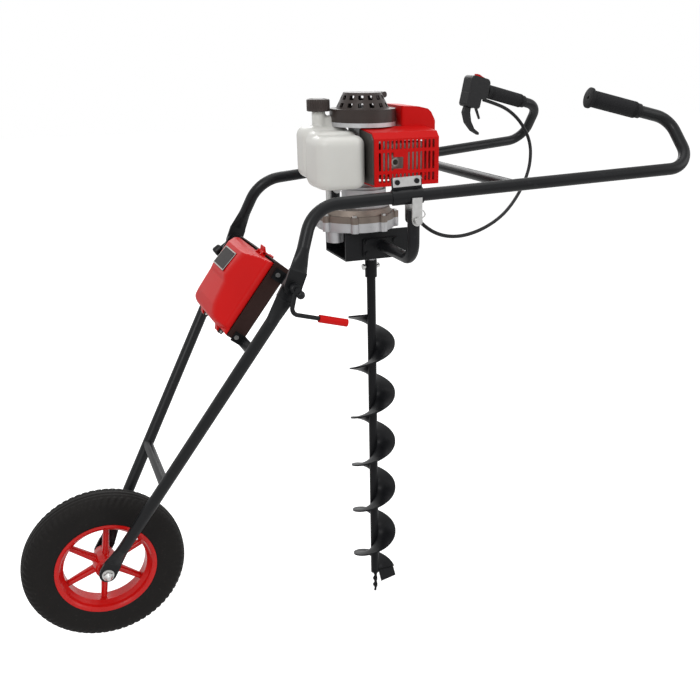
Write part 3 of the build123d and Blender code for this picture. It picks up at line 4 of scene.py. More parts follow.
import bmesh
import bpy
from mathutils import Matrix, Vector


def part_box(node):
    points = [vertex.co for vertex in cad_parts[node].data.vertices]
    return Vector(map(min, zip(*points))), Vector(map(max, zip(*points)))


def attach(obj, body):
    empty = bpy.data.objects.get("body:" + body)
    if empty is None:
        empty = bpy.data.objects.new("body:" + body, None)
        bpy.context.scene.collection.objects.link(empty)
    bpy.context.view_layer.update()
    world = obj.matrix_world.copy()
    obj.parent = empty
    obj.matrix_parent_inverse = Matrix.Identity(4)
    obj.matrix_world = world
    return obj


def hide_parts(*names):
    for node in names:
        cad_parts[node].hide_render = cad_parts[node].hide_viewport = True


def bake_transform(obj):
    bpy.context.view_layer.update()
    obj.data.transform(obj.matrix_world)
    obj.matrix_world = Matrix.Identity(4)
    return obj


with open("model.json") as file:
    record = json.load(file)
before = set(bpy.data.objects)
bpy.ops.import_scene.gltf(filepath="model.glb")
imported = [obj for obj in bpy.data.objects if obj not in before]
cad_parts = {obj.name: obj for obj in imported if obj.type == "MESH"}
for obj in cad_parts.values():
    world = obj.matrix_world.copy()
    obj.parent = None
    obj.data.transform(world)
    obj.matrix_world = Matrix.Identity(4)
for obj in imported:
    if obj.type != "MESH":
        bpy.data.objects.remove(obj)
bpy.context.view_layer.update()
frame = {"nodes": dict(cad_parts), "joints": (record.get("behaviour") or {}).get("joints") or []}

NODES = frame["nodes"]
TAU = 2 * math.pi

# ---------------------------------------------------------------- camera, light and floor
CAMERA_AT = Vector((-0.7317, -1.7905, 1.3618))
CAMERA_AZIMUTH, CAMERA_ELEVATION = math.radians(-24.4), math.radians(20.7)
camera_data = bpy.data.cameras.new("camera")
camera_data.sensor_width = 36
camera_data.lens = 43.62
camera_data.shift_x = -0.0749
camera_data.shift_y = 0.0301
camera_data.clip_start = 0.05
camera_data.clip_end = 60
camera = bpy.data.objects.new("camera", camera_data)
bpy.context.scene.collection.objects.link(camera)
camera.location = CAMERA_AT
camera.rotation_euler = (math.pi / 2 - CAMERA_ELEVATION, 0, CAMERA_AZIMUTH)
bpy.context.scene.camera = camera

# The world is seen as white and reflects as white, but lights the surfaces only half as much.
WORLD_SEEN, WORLD_LIGHTING = 1.0, 0.50
world = bpy.data.worlds.new("studio")
bpy.context.scene.world = world
world.use_nodes = True
tree = world.node_tree
background = tree.nodes["Background"]
paths = tree.nodes.new("ShaderNodeLightPath")
seen = tree.nodes.new("ShaderNodeMath")
seen.operation = "MAXIMUM"
seen_or_glossy = tree.nodes.new("ShaderNodeMath")
seen_or_glossy.operation = "MAXIMUM"
level = tree.nodes.new("ShaderNodeMapRange")
level.inputs["To Min"].default_value = WORLD_LIGHTING
level.inputs["To Max"].default_value = WORLD_SEEN
tree.links.new(paths.outputs["Is Camera Ray"], seen.inputs[0])
tree.links.new(paths.outputs["Is Transmission Ray"], seen.inputs[1])
tree.links.new(seen.outputs[0], seen_or_glossy.inputs[0])
tree.links.new(paths.outputs["Is Glossy Ray"], seen_or_glossy.inputs[1])
tree.links.new(seen_or_glossy.outputs[0], level.inputs["Value"])
tree.links.new(level.outputs["Result"], background.inputs["Strength"])
background.inputs["Color"].default_value = (1, 1, 1, 1)


def area_light(name, place, aim, size, watts):
    """A soft rectangular lamp that points at a spot."""
    data = bpy.data.lights.new(name, "AREA")
    data.shape = "RECTANGLE"
    data.size, data.size_y = size
    data.energy = watts
    lamp = bpy.data.objects.new(name, data)
    bpy.context.scene.collection.objects.link(lamp)
    lamp.location = place
    lamp.rotation_mode = "QUATERNION"
    lamp.rotation_quaternion = (Vector(aim) - Vector(place)).to_track_quat("-Z", "Y")


area_light("key", (-2.2, -2.6, 3.4), (-0.1, 0, 0.8), (1.6, 1.6), 52)
area_light("fill", (2.8, -2.2, 2.2), (0.1, 0, 0.9), (1.8, 2.4), 26)
area_light("back", (0.6, 3.0, 2.8), (0, 0, 0.9), (2.2, 1.4), 34)
area_light("top", (0, 0, 4.2), (0, 0, 0), (2.4, 2.4), 30)


FLOOR_Z = -0.002
FLOOR_HALF_SIDE = 14
FLOOR_GLOW = 0.55


def floor_material():
    """Plain white floor that keeps a soft shadow; it glows only for the camera."""
    made = bpy.data.materials.new("floor")
    made.use_nodes = True
    nodes, links = made.node_tree.nodes, made.node_tree.links
    shader = nodes["Principled BSDF"]
    shader.inputs["Base Color"].default_value = (0.93, 0.93, 0.93, 1)
    shader.inputs["Roughness"].default_value = 0.9
    shader.inputs["Emission Color"].default_value = (1, 1, 1, 1)
    light = nodes.new("ShaderNodeLightPath")
    lift = nodes.new("ShaderNodeMapRange")
    lift.inputs["To Min"].default_value = 0.0
    lift.inputs["To Max"].default_value = FLOOR_GLOW
    links.new(light.outputs["Is Camera Ray"], lift.inputs["Value"])
    links.new(lift.outputs["Result"], shader.inputs["Emission Strength"])
    return made


bm = bmesh.new()
bmesh.ops.create_grid(bm, x_segments=2, y_segments=2, size=FLOOR_HALF_SIDE)
floor_mesh = bpy.data.meshes.new("floor")
bm.to_mesh(floor_mesh)
bm.free()
floor = bpy.data.objects.new("floor", floor_mesh)
bpy.context.scene.collection.objects.link(floor)
floor.location.z = FLOOR_Z
floor.data.materials.append(floor_material())
bpy.context.scene.view_settings.view_transform = "Standard"


# ---------------------------------------------------------------- materials
COAT_ROUGHNESS = 0.12
SMOOTHER, ROUGHER = 0.06, 0.08  # how far the roughness goes below and above its middle
LEAST_ROUGH = 0.03
WEAR_FROM, WEAR_TO = 0.62, 0.74  # the noise values between which the worn colour comes in
GRAIN_HEIGHT = 0.0006
M = {}


def surface(name, colour, rough, metallic=0.0, coat=0.0, vary=0.12, vary_scale=30.0, grain=0.0,
            grain_scale=900.0, wear=None, wear_amount=0.0, subsurface=0.0, streak=(1, 1, 1),
            specular=0.5):
    """Adds to M a material whose colour and roughness vary, with a fine surface grain."""
    made = bpy.data.materials.new(name)
    made.use_nodes = True
    nodes, links = made.node_tree.nodes, made.node_tree.links
    shader = nodes["Principled BSDF"]
    shader.inputs["Metallic"].default_value = metallic
    shader.inputs["Coat Weight"].default_value = coat
    shader.inputs["Specular IOR Level"].default_value = specular
    shader.inputs["Coat Roughness"].default_value = COAT_ROUGHNESS
    if subsurface:
        shader.inputs["Subsurface Weight"].default_value = subsurface
        shader.inputs["Subsurface Radius"].default_value = (1.0, 0.95, 0.9)
        shader.inputs["Subsurface Scale"].default_value = 0.012
    place = nodes.new("ShaderNodeTexCoord")
    mapping = nodes.new("ShaderNodeMapping")
    mapping.inputs["Scale"].default_value = streak
    links.new(place.outputs["Object"], mapping.inputs["Vector"])

    broad = nodes.new("ShaderNodeTexNoise")
    broad.inputs["Scale"].default_value = vary_scale
    broad.inputs["Detail"].default_value = 5
    links.new(mapping.outputs["Vector"], broad.inputs["Vector"])
    mix = nodes.new("ShaderNodeMix")
    mix.data_type = "RGBA"
    mix.inputs["A"].default_value = (*[c * (1 - vary) for c in colour], 1)
    mix.inputs["B"].default_value = (*[min(1, c * (1 + vary)) for c in colour], 1)
    links.new(broad.outputs["Fac"], mix.inputs["Factor"])
    last = mix.outputs["Result"]
    if wear:
        spots = nodes.new("ShaderNodeTexNoise")
        spots.inputs["Scale"].default_value = vary_scale * 5
        spots.inputs["Detail"].default_value = 8
        links.new(mapping.outputs["Vector"], spots.inputs["Vector"])
        limit = nodes.new("ShaderNodeMapRange")
        limit.inputs["From Min"].default_value = WEAR_FROM
        limit.inputs["From Max"].default_value = WEAR_TO
        limit.inputs["To Max"].default_value = wear_amount
        links.new(spots.outputs["Fac"], limit.inputs["Value"])
        worn = nodes.new("ShaderNodeMix")
        worn.data_type = "RGBA"
        worn.inputs["B"].default_value = (*wear, 1)
        links.new(limit.outputs["Result"], worn.inputs["Factor"])
        links.new(last, worn.inputs["A"])
        last = worn.outputs["Result"]
    links.new(last, shader.inputs["Base Color"])
    gloss = nodes.new("ShaderNodeMapRange")
    gloss.inputs["To Min"].default_value = max(LEAST_ROUGH, rough - SMOOTHER)
    gloss.inputs["To Max"].default_value = min(1, rough + ROUGHER)
    links.new(broad.outputs["Fac"], gloss.inputs["Value"])
    links.new(gloss.outputs["Result"], shader.inputs["Roughness"])
    if grain:
        fine = nodes.new("ShaderNodeTexNoise")
        fine.inputs["Scale"].default_value = grain_scale
        fine.inputs["Detail"].default_value = 3
        links.new(mapping.outputs["Vector"], fine.inputs["Vector"])
        bump = nodes.new("ShaderNodeBump")
        bump.inputs["Strength"].default_value = grain
        bump.inputs["Distance"].default_value = GRAIN_HEIGHT
        links.new(fine.outputs["Fac"], bump.inputs["Height"])
        links.new(bump.outputs["Normal"], shader.inputs["Normal"])
    M[name] = made


surface("black_paint", (0.0075, 0.008, 0.009), 0.34, coat=0.03, vary=0.2, vary_scale=14,
        grain=0.05, grain_scale=700, wear=(0.022, 0.022, 0.025), wear_amount=0.4, specular=0.2)
surface("bit_paint", (0.0065, 0.0068, 0.008), 0.36, vary=0.3, vary_scale=25, grain=0.16,
        grain_scale=260, wear=(0.02, 0.02, 0.024), wear_amount=0.4, specular=0.14)
surface("zinc", (0.62, 0.62, 0.61), 0.30, metallic=1.0, vary=0.14, vary_scale=120, grain=0.12,
        grain_scale=1600, wear=(0.36, 0.34, 0.30), wear_amount=0.4)
surface("bright_steel", (0.6, 0.6, 0.62), 0.22, metallic=1.0, vary=0.08, vary_scale=80,
        grain=0.06, streak=(1, 1, 12))
surface("gear_steel", (0.42, 0.42, 0.43), 0.3, metallic=1.0, vary=0.12, vary_scale=90,
        grain=0.1, streak=(1, 1, 10))
surface("grip_rubber", (0.010, 0.010, 0.011), 0.6, vary=0.2, vary_scale=60, grain=0.3,
        grain_scale=1500, specular=0.16)
surface("black_plastic", (0.010, 0.010, 0.011), 0.42, vary=0.15, vary_scale=40, grain=0.2,
        grain_scale=2400, specular=0.2)
surface("dark_plastic", (0.034, 0.024, 0.021), 0.33, coat=0.05, vary=0.25, vary_scale=40,
        grain=0.2, grain_scale=1600, specular=0.3)
surface("red_plastic", (0.56, 0.0055, 0.005), 0.40, vary=0.08, vary_scale=8, grain=0.05,
        grain_scale=500, specular=0.12)
surface("red_rim", (0.56, 0.007, 0.006), 0.25, coat=0.1, vary=0.08, vary_scale=12, grain=0.05,
        grain_scale=500, wear=(0.22, 0.006, 0.006), wear_amount=0.25, specular=0.25)
surface("tyre_rubber", (0.0095, 0.0085, 0.008), 0.62, vary=0.3, vary_scale=40, grain=0.4,
        grain_scale=900, wear=(0.03, 0.027, 0.024), wear_amount=0.5, specular=0.14)
surface("cast_alloy", (0.50, 0.50, 0.51), 0.42, metallic=0.85, vary=0.12, vary_scale=70,
        grain=0.5, grain_scale=1100, wear=(0.25, 0.24, 0.23), wear_amount=0.5)
surface("bronze_alloy", (0.20, 0.165, 0.14), 0.45, metallic=0.7, vary=0.2, vary_scale=60,
        grain=0.5, grain_scale=900)
surface("tank_plastic", (0.66, 0.655, 0.62), 0.36, vary=0.05, vary_scale=18, grain=0.1,
        grain_scale=300, subsurface=0.3)
surface("plate_dark", (0.024, 0.020, 0.020), 0.5, vary=0.15, vary_scale=60, grain=0.1,
        specular=0.15)
surface("plate_edge", (0.45, 0.43, 0.40), 0.35, metallic=0.4, vary=0.1, vary_scale=60,
        grain=0.1)
surface("cable_black", (0.008, 0.008, 0.009), 0.38, vary=0.15, vary_scale=60, grain=0.1,
        grain_scale=1200, specular=0.2)
surface("dark_steel", (0.085, 0.078, 0.072), 0.45, metallic=0.5, vary=0.2, vary_scale=50,
        grain=0.3, grain_scale=1000, wear=(0.2, 0.18, 0.16), wear_amount=0.4)
surface("muffler_steel", (0.42, 0.40, 0.37), 0.36, metallic=0.95, vary=0.2, vary_scale=60,
        grain=0.2, wear=(0.22, 0.15, 0.1), wear_amount=0.5)
surface("rope", (0.10, 0.095, 0.09), 0.8, vary=0.3, vary_scale=400, grain=0.5, grain_scale=2500,
        specular=0.2)
surface("tray_inside", (0.026, 0.010, 0.008), 0.5, vary=0.25, vary_scale=40, grain=0.3,
        specular=0.2)


# ---------------------------------------------------------------- CAD nodes that keep their shape
def shade(mesh, degrees=32):
    """Smooth shading with creases kept sharp."""
    mesh.polygons.foreach_set("use_smooth", [True] * len(mesh.polygons))
    mesh.set_sharp_from_angle(angle=math.radians(degrees))


def rounded(obj, width):
    """Rounds the edges of a piece a little."""
    rounding = obj.modifiers.new("edges", "BEVEL")
    rounding.width = width
    rounding.segments = 2
    return rounding


ROUNDED_FROM = 38  # an edge is rounded where its two faces turn by more than these degrees


def dress(node, material, edge):
    """Gives a CAD node its material, smooth shading and small broken edges."""
    obj = NODES[node]
    if not obj.material_slots:
        obj.data.materials.append(M[material])
    for place in obj.material_slots:
        place.material = M[material]
    shade(obj.data)
    if edge:
        rounding = rounded(obj, edge)
        rounding.limit_method = "ANGLE"
        rounding.angle_limit = math.radians(ROUNDED_FROM)
        rounding.harden_normals = True


for names, material, edge in (
        (("handle_tube_left", "handle_tube_right", "cross_brace", "fork_tubes"), "black_paint",
         0.0004),
        (("saddle_clamps", "cradle_tubes", "gearbox_bracket", "tray_brackets"), "black_paint",
         0.0006),
        (("tool_tray",), "tray_inside", 0.0006),
        (("bit_tube", "bit_flight", "cutting_blade"), "bit_paint", 0.0003),
        (("clamp_plates", "hanger_pins", "axle_bolt", "tray_pins", "gearbox_bolts", "drive_pin"),
         "zinc", 0.0004),
        (("clamp_crank", "cradle_plates", "clamp_screws", "pivot_bolts", "far_clamp_lever"),
         "black_paint", 0.0004),
        (("wheel_bearings", "shaft_bearings"), "bright_steel", 0.0003),
        (("output_shaft", "intermediate_gear", "clutch_drum", "crankshaft"), "gear_steel", 0.0002),
        (("throttle_housing", "throttle_trigger", "lockout_lever"), "black_plastic", 0.0012),
        (("air_filter", "choke_lever"), "black_plastic", 0.001),
        (("recoil_housing", "starter_handle"), "dark_plastic", 0.0007),
        (("stop_rocker", "crank_grip", "lid_latch"), "red_plastic", 0.0008),
        (("tool_lid",), "red_plastic", 0.001),
        (("top_shroud", "muffler_cover"), "red_plastic", 0.0007),
        (("wheel_rim",), "red_rim", 0.0008),
        (("gearbox_lower", "clutch_housing", "crankcase", "cylinder", "carburettor", "spark_plug"),
         "cast_alloy", 0.0006),
        (("gearbox_upper",), "bronze_alloy", 0.0008),
        (("name_plate",), "plate_dark", 0.0002),
        (("muffler",), "muffler_steel", 0.0008),
        (("side_guard",), "dark_steel", 0.0004),
        (("grip_left", "grip_right"), "grip_rubber", 0.0006),
        (("tyre",), "tyre_rubber", 0.0006),
        (("fuel_tank",), "tank_plastic", 0.001),
        (("fuel_cap",), "dark_plastic", 0.0008),
        (("throttle_cable",), "cable_black", 0.0)):
    for node in names:
        dress(node, material, edge)


# ---------------------------------------------------------------- mesh helpers
def built(name, bm):
    """Turns a bmesh into a mesh with its faces outward."""
    bmesh.ops.recalc_face_normals(bm, faces=bm.faces)
    mesh = bpy.data.meshes.new(name)
    bm.to_mesh(mesh)
    bm.free()
    return mesh


def shown(name, mesh, material, degrees):
    """Puts a mesh in the scene as an object with its material and smooth shading."""
    obj = bpy.data.objects.new(name, mesh)
    bpy.context.scene.collection.objects.link(obj)
    mesh.materials.append(M[material])
    shade(mesh, degrees)
    return obj


def mounted(obj, body, replaces):
    """Lets an object ride on a body, in place of the CAD nodes it replaces."""
    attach(obj, body)
    if replaces:
        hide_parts(*replaces)
    return obj


def new_piece(name, bm, body, material, replaces=(), degrees=35):
    """Turns a bmesh into a finished piece that rides on a body."""
    return mounted(shown(name, built(name, bm), material, degrees), body, replaces)


def lathe(bm, base, axis, profile, segments, wobble, closed=False):
    """Adds a turned shape: profile is (along, radius) points, and wobble moves a radius."""
    base, axis = Vector(base), Vector(axis).normalized()
    side = axis.orthogonal().normalized()
    other = axis.cross(side)
    rings = []
    for along, radius in profile:
        ring = []
        for index in range(segments):
            angle = TAU * index / segments
            reach = radius + wobble(along, radius, angle)
            outward = side * math.cos(angle) + other * math.sin(angle)
            ring.append(bm.verts.new(base + axis * along + outward * reach))
        rings.append(ring)
    for low, high in zip(rings, rings[1:] + (rings[:1] if closed else [])):
        for index in range(segments):
            following = (index + 1) % segments
            bm.faces.new((low[index], low[following], high[following], high[index]))


# ---------------------------------------------------------------- tyre
AXLE = Vector((-0.665, 0, 0.270))
TYRE_SEGMENTS = 432
TREAD_DEPTH = 0.0022
CROWN_R = 0.170  # outside this radius the crown has its grooves
CROWN_GROOVES = (0.0075, 0.0185)  # how far from the middle they run
GROOVE_WIDTH = 0.0016
SHOULDER_R, SHOULDER_ACROSS = 0.150, 0.019  # the lugs start outside both
TREAD_LUGS = 72
LUG_SLANT = 40


def tread(along, radius, angle):
    """Grooves of the tyre: round the crown, and between slanted lugs on both shoulders."""
    across = abs(along)
    cut = 0.0
    if radius > CROWN_R:
        for line in CROWN_GROOVES:
            cut -= TREAD_DEPTH * math.exp(-((across - line) / GROOVE_WIDTH) ** 2)
    if radius > SHOULDER_R and across > SHOULDER_ACROSS:
        depth = min(1, (radius - SHOULDER_R) / 0.010) * min(1, (across - SHOULDER_ACROSS) / 0.004)
        phase = (angle * TREAD_LUGS / TAU + across * LUG_SLANT) % 1
        cut -= TREAD_DEPTH * depth * max(0, min(1, (0.34 - abs(phase - 0.5)) * -9 + 1))
    return cut


def eased(points, steps):
    """More points along a closed outline, on a smooth curve through the given ones."""
    made = []
    total = len(points)
    for index in range(total):
        p = [Vector(points[(index + k) % total]).to_3d() for k in (-1, 0, 1, 2)]
        for step in range(steps):
            t = step / steps
            made.append(0.5 * ((2 * p[1]) + (p[2] - p[0]) * t
                               + (2 * p[0] - 5 * p[1] + 4 * p[2] - p[3]) * t * t
                               + (3 * p[1] - p[0] - 3 * p[2] + p[3]) * t ** 3))
    return [(point.x, point.y) for point in made]


# Half of the outer skin from one bead to the crown, and the whole inside, as (across, radius).
TYRE_HALF = [(-0.0322, 0.1107), (-0.0345, 0.117), (-0.0368, 0.127), (-0.0378, 0.140),
             (-0.0370, 0.153), (-0.0335, 0.164), (-0.0275, 0.1705), (-0.0195, 0.1745),
             (-0.0095, 0.1765), (0.0, 0.1768)]
TYRE_INSIDE = [(0.022, 0.1035), (0.028, 0.118), (0.0315, 0.140), (0.026, 0.160), (0.0, 0.166),
               (-0.026, 0.160), (-0.0315, 0.140), (-0.028, 0.118), (-0.022, 0.1035)]
TYRE_OTHER_HALF = [(-across, radius) for across, radius in reversed(TYRE_HALF[:-1])]
bm = bmesh.new()
tyre_outline = eased(TYRE_HALF + TYRE_OTHER_HALF + TYRE_INSIDE, 4)
lathe(bm, AXLE, (0, 1, 0), tyre_outline, TYRE_SEGMENTS, tread, closed=True)
new_piece("tyre_tread", bm, "wheel", "tyre_rubber", ("tyre",), 50)

# ---------------------------------------------------------------- grips
GRIP_R = 0.0175
GRIP_FLUTES = 36
RING_DEPTH = 0.0009
LEFT_START, LEFT_RUN = (0.404142, -0.237488, 1.268925), (0.964441, -0.127936, -0.231269)
RIGHT_START, RIGHT_RUN = (0.429218, 0.240815, 1.262912), (0.964441, 0.127936, -0.231269)


def grip_flutes(along, radius, angle):
    """Fine lengthwise flutes on the body of a grip."""
    if 0.012 < along < 0.112 and radius > 0.0172:
        return -0.0005 * (0.5 + 0.5 * math.cos(angle * GRIP_FLUTES))
    return 0.0


def grip_grooves(first, spacing, sunk, rising, level):
    """Three grooves round a grip; each is sunk, rising and level so far from where it starts."""
    made = []
    for groove in range(3):
        base = first + groove * spacing
        made += [(base, GRIP_R), (base + sunk, GRIP_R - RING_DEPTH),
                 (base + rising, GRIP_R - RING_DEPTH), (base + level, GRIP_R)]
    return made


def make_grip(name, node, start, run, flange):
    """A rubber grip: fluted body, grooves at both ends, a narrower tail, and a flange on one."""
    profile = [(-0.0001, 0.0127), (0.0, GRIP_R - 0.001), (0.001, GRIP_R)]
    if flange:
        profile = [(0.0, 0.003), (0.0, 0.0195), (0.0012, 0.0214), (0.0058, 0.0214),
                   (0.0070, 0.0198), (0.0078, GRIP_R)]
    profile += grip_grooves(0.010, 0.0035, 0.0006, 0.0016, 0.0022)
    profile += [(0.020 + step * 0.0037, GRIP_R) for step in range(1, 24)]
    profile += grip_grooves(0.1085, 0.003, 0.0005, 0.0013, 0.0018)
    profile += [(0.1172, GRIP_R), (0.118, GRIP_R - 0.0008), (0.1182, 0.0155), (0.1290, 0.0155),
                (0.130, 0.0147), (0.130, 0.0127)]
    made = bmesh.new()
    lathe(made, start, run, profile, 144, grip_flutes)
    new_piece(name, made, "handle_frame", "grip_rubber", (node,), 40)


make_grip("grip_left_rubber", "grip_left", LEFT_START, LEFT_RUN, True)
make_grip("grip_right_rubber", "grip_right", RIGHT_START, RIGHT_RUN, False)

# ---------------------------------------------------------------- fuel cap
CAP_LOW, CAP_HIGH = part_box("fuel_cap")
CAP_HEIGHT = 0.026
CAP_FLUTES = 30
cap_middle = Vector(((CAP_LOW.x + CAP_HIGH.x) / 2, (CAP_LOW.y + CAP_HIGH.y) / 2,
                     CAP_HIGH.z - CAP_HEIGHT))


def cap_flutes(along, radius, angle):
    """Finger flutes round the side of the cap."""
    if 0.003 < along < 0.0225 and radius > 0.023:
        return -0.0011 * (0.5 + 0.5 * math.cos(angle * CAP_FLUTES)) ** 2
    return 0.0


CAP_PROFILE = [(0.0, 0.0), (0.0, 0.0236), (0.0012, 0.0248), (0.0031, 0.0249), (0.006, 0.0249),
               (0.010, 0.0249), (0.014, 0.0249), (0.018, 0.0249), (0.0224, 0.0249),
               (0.0240, 0.0242), (0.0252, 0.0225), (0.0254, 0.0195), (0.0246, 0.0185),
               (0.0248, 0.012), (0.0256, 0.010), (0.0256, 0.0)]
bm = bmesh.new()
lathe(bm, cap_middle, (0, 0, 1), CAP_PROFILE, 180, cap_flutes)
new_piece("fuel_cap_fluted", bm, "tank_cap", "dark_plastic", ("fuel_cap",), 40)


# ---------------------------------------------------------------- fuel tank
def add_block(bm, low, high, corner, edge):
    """Adds a box with rounded upright corners and rounded top and bottom edges."""
    part = bmesh.new()
    outline = []
    for sx, sy, start in ((1, 1, 0), (-1, 1, 90), (-1, -1, 180), (1, -1, 270)):
        centre = ((high[0] - corner) if sx > 0 else (low[0] + corner),
                  (high[1] - corner) if sy > 0 else (low[1] + corner))
        for step in range(9):
            angle = math.radians(start + 90 * step / 8)
            outline.append((centre[0] + corner * math.cos(angle),
                            centre[1] + corner * math.sin(angle)))
    middle = ((low[0] + high[0]) / 2, (low[1] + high[1]) / 2)
    span_x, span_y = (high[0] - low[0]) / 2, (high[1] - low[1]) / 2
    turns = [math.radians(15 * k) for k in range(7)]
    bottom = [(low[2] + edge * (1 - math.cos(turn)), edge * (1 - math.sin(turn))) for turn in turns]
    top = [(high[2] - edge * (1 - math.sin(turn)), edge * (1 - math.cos(turn))) for turn in turns]
    rings = []
    for z, inset in bottom + top:
        fx, fy = (span_x - inset) / span_x, (span_y - inset) / span_y
        rings.append([part.verts.new((middle[0] + (x - middle[0]) * fx,
                                      middle[1] + (y - middle[1]) * fy, z)) for x, y in outline])
    for below, above in zip(rings, rings[1:]):
        for k in range(len(outline)):
            following = (k + 1) % len(outline)
            part.faces.new((below[k], below[following], above[following], above[k]))
    part.faces.new(rings[0])
    part.faces.new(rings[-1])
    bmesh.ops.recalc_face_normals(part, faces=part.faces)
    scratch = bpy.data.meshes.new("scratch")
    part.to_mesh(scratch)
    part.free()
    bm.from_mesh(scratch)
    bpy.data.meshes.remove(scratch)


def melted(name, bm, voxel, rounds, body, material, replaces):
    """Joins overlapping closed shapes into one blow-moulded skin with soft edges."""
    mesh = bpy.data.meshes.new(name)
    bm.to_mesh(mesh)
    bm.free()
    source = bpy.data.objects.new(name + "_source", mesh)
    bpy.context.scene.collection.objects.link(source)
    skin = source.modifiers.new("skin", "REMESH")
    skin.mode = "VOXEL"
    skin.voxel_size = voxel
    soft = source.modifiers.new("soft", "SMOOTH")
    soft.factor = 0.6
    soft.iterations = rounds
    bpy.context.view_layer.update()
    depsgraph = bpy.context.evaluated_depsgraph_get()
    result = bpy.data.meshes.new_from_object(source.evaluated_get(depsgraph))
    bpy.data.objects.remove(source)
    result.name = name
    result.materials.clear()
    mounted(shown(name, result, material, 80), body, replaces)


TANK_LOW, TANK_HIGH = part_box("fuel_tank")
TANK_TOP = TANK_HIGH.z - 0.048  # the CAD tank's top without its neck
NECK = cap_middle.xy
NECK_R = 0.0145
bm = bmesh.new()
for low, high, corner, edge in (
        # the far lobe, the middle and the near lobe
        ((TANK_LOW.x, -0.020, TANK_LOW.z + 0.011),
         (TANK_HIGH.x + 0.004, TANK_HIGH.y + 0.005, TANK_TOP + 0.018), 0.026, 0.020),
        ((TANK_LOW.x + 0.004, -0.060, TANK_LOW.z),
         (TANK_HIGH.x + 0.004, 0.018, TANK_TOP + 0.010), 0.024, 0.016),
        ((TANK_LOW.x, TANK_LOW.y - 0.003, TANK_LOW.z - 0.002),
         (TANK_HIGH.x + 0.005, 0.004, TANK_TOP + 0.004), 0.026, 0.018),
        # the neck, and the shoulder behind it
        ((NECK.x - NECK_R, NECK.y - NECK_R, TANK_TOP),
         (NECK.x + NECK_R, NECK.y + NECK_R, TANK_TOP + 0.049), 0.0144, 0.001),
        ((NECK.x - 0.012, NECK.y - 0.012, TANK_TOP + 0.005),
         (NECK.x + 0.052, NECK.y + 0.012, TANK_TOP + 0.040), 0.010, 0.010)):
    add_block(bm, low, high, corner, edge)
melted("fuel_tank_moulding", bm, 0.0022, 9, "power_head", "tank_plastic",
       ("fuel_tank",))

# ---------------------------------------------------------------- tool box lid
BOX_ORIGIN = Vector((-0.350, 0, 0.7945))
BOX_UP = Vector((0.614, 0, 0.789)).normalized()
BOX_OUT = Vector((-BOX_UP.z, 0, BOX_UP.x))
LID_RIM = 0.0354
LID_HALF = 0.136
LID_ENDS = (0.0, 0.1765)


def box_point(up, out, across):
    """A point of the tool box: up its back, out to its front, and across."""
    return BOX_ORIGIN + BOX_UP * up + BOX_OUT * out + Vector((0, across, 0))


def on_line(points, x):
    """Straight interpolation in a list of (x, y) points."""
    for (x0, y0), (x1, y1) in zip(points, points[1:]):
        if x <= x1:
            return y0 + (y1 - y0) * max(0, x - x0) / (x1 - x0)
    return points[-1][1]


def softer(a, b, width):
    """The smaller of two heights, with the corner between them rounded."""
    h = max(width - abs(a - b), 0) / width
    return min(a, b) - h * h * width / 4


# The lid from the side, as (up, out), and from the front: low at its ends, flat in the middle.
LID_SIDE = [(0, 0.052), (0.010, 0.0655), (0.034, 0.0735), (0.086, 0.0780), (0.098, 0.0838),
            (0.158, 0.0780), (0.1715, 0.058), (0.1765, 0.050)]
LID_END_HEIGHT, LID_SLOPE, LID_FLAT = 0.046, 0.4545, 0.086
LID_EDGE_R = 0.007


def lid_height(up, across):
    """How far the lid stands out over a point of the box."""
    along = on_line(LID_SIDE, up)
    slope = LID_END_HEIGHT + (LID_HALF - abs(across)) * LID_SLOPE
    height = softer(along, min(slope, LID_FLAT), 0.005)
    reach = max(0, 0.070 - up) / 0.072
    side = max(0, abs(across) - 0.050) / 0.086
    fall = 0.92 * reach ** 2.2
    dome = LID_RIM + 0.006 + 0.042 * math.sqrt(max(0, 1 - fall - 0.6 * reach * side ** 1.5))
    height = softer(height, dome, 0.004)
    inside = min(up - LID_ENDS[0], LID_ENDS[1] - up, LID_HALF - abs(across))
    edge = min(1, max(0, inside) / LID_EDGE_R)
    return LID_RIM + (height - LID_RIM) * math.sqrt(1 - (1 - edge) ** 2)


def spaced(low, high, count):
    """Places between two ends, closer together near the ends."""
    near = [0, 0.0002, 0.0007, 0.0015, 0.0026, 0.0040, 0.0055, 0.0072]
    inner = [low + 0.0090 + (high - low - 0.018) * k / count for k in range(count + 1)]
    return [low + d for d in near] + inner + [high - d for d in reversed(near)]


bm = bmesh.new()
lid_grid = [[bm.verts.new(box_point(up, lid_height(up, across), across)) for across in
             spaced(-LID_HALF, LID_HALF, 96)] for up in spaced(*LID_ENDS, 66)]
for row, following in zip(lid_grid, lid_grid[1:]):
    for k in range(len(row) - 1):
        bm.faces.new((row[k], row[k + 1], following[k + 1], following[k]))
lid_piece = new_piece("tool_lid_shell", bm, "lid", "red_plastic", ("tool_lid",), 60)
wall = lid_piece.modifiers.new("wall", "SOLIDIFY")
wall.thickness = 0.0022
wall.offset = -1


def box_slab(bm, outline, low, high):
    """Adds a shape drawn in mm on the side of the tool box, from one place across to another."""
    near = [bm.verts.new(box_point(up / 1000, out / 1000, low)) for up, out in outline]
    far = [bm.verts.new(box_point(up / 1000, out / 1000, high)) for up, out in outline]
    bm.faces.new(near)
    bm.faces.new(far[::-1])
    for k in range(len(outline)):
        following = (k + 1) % len(outline)
        bm.faces.new((near[k], far[k], far[following], near[following]))


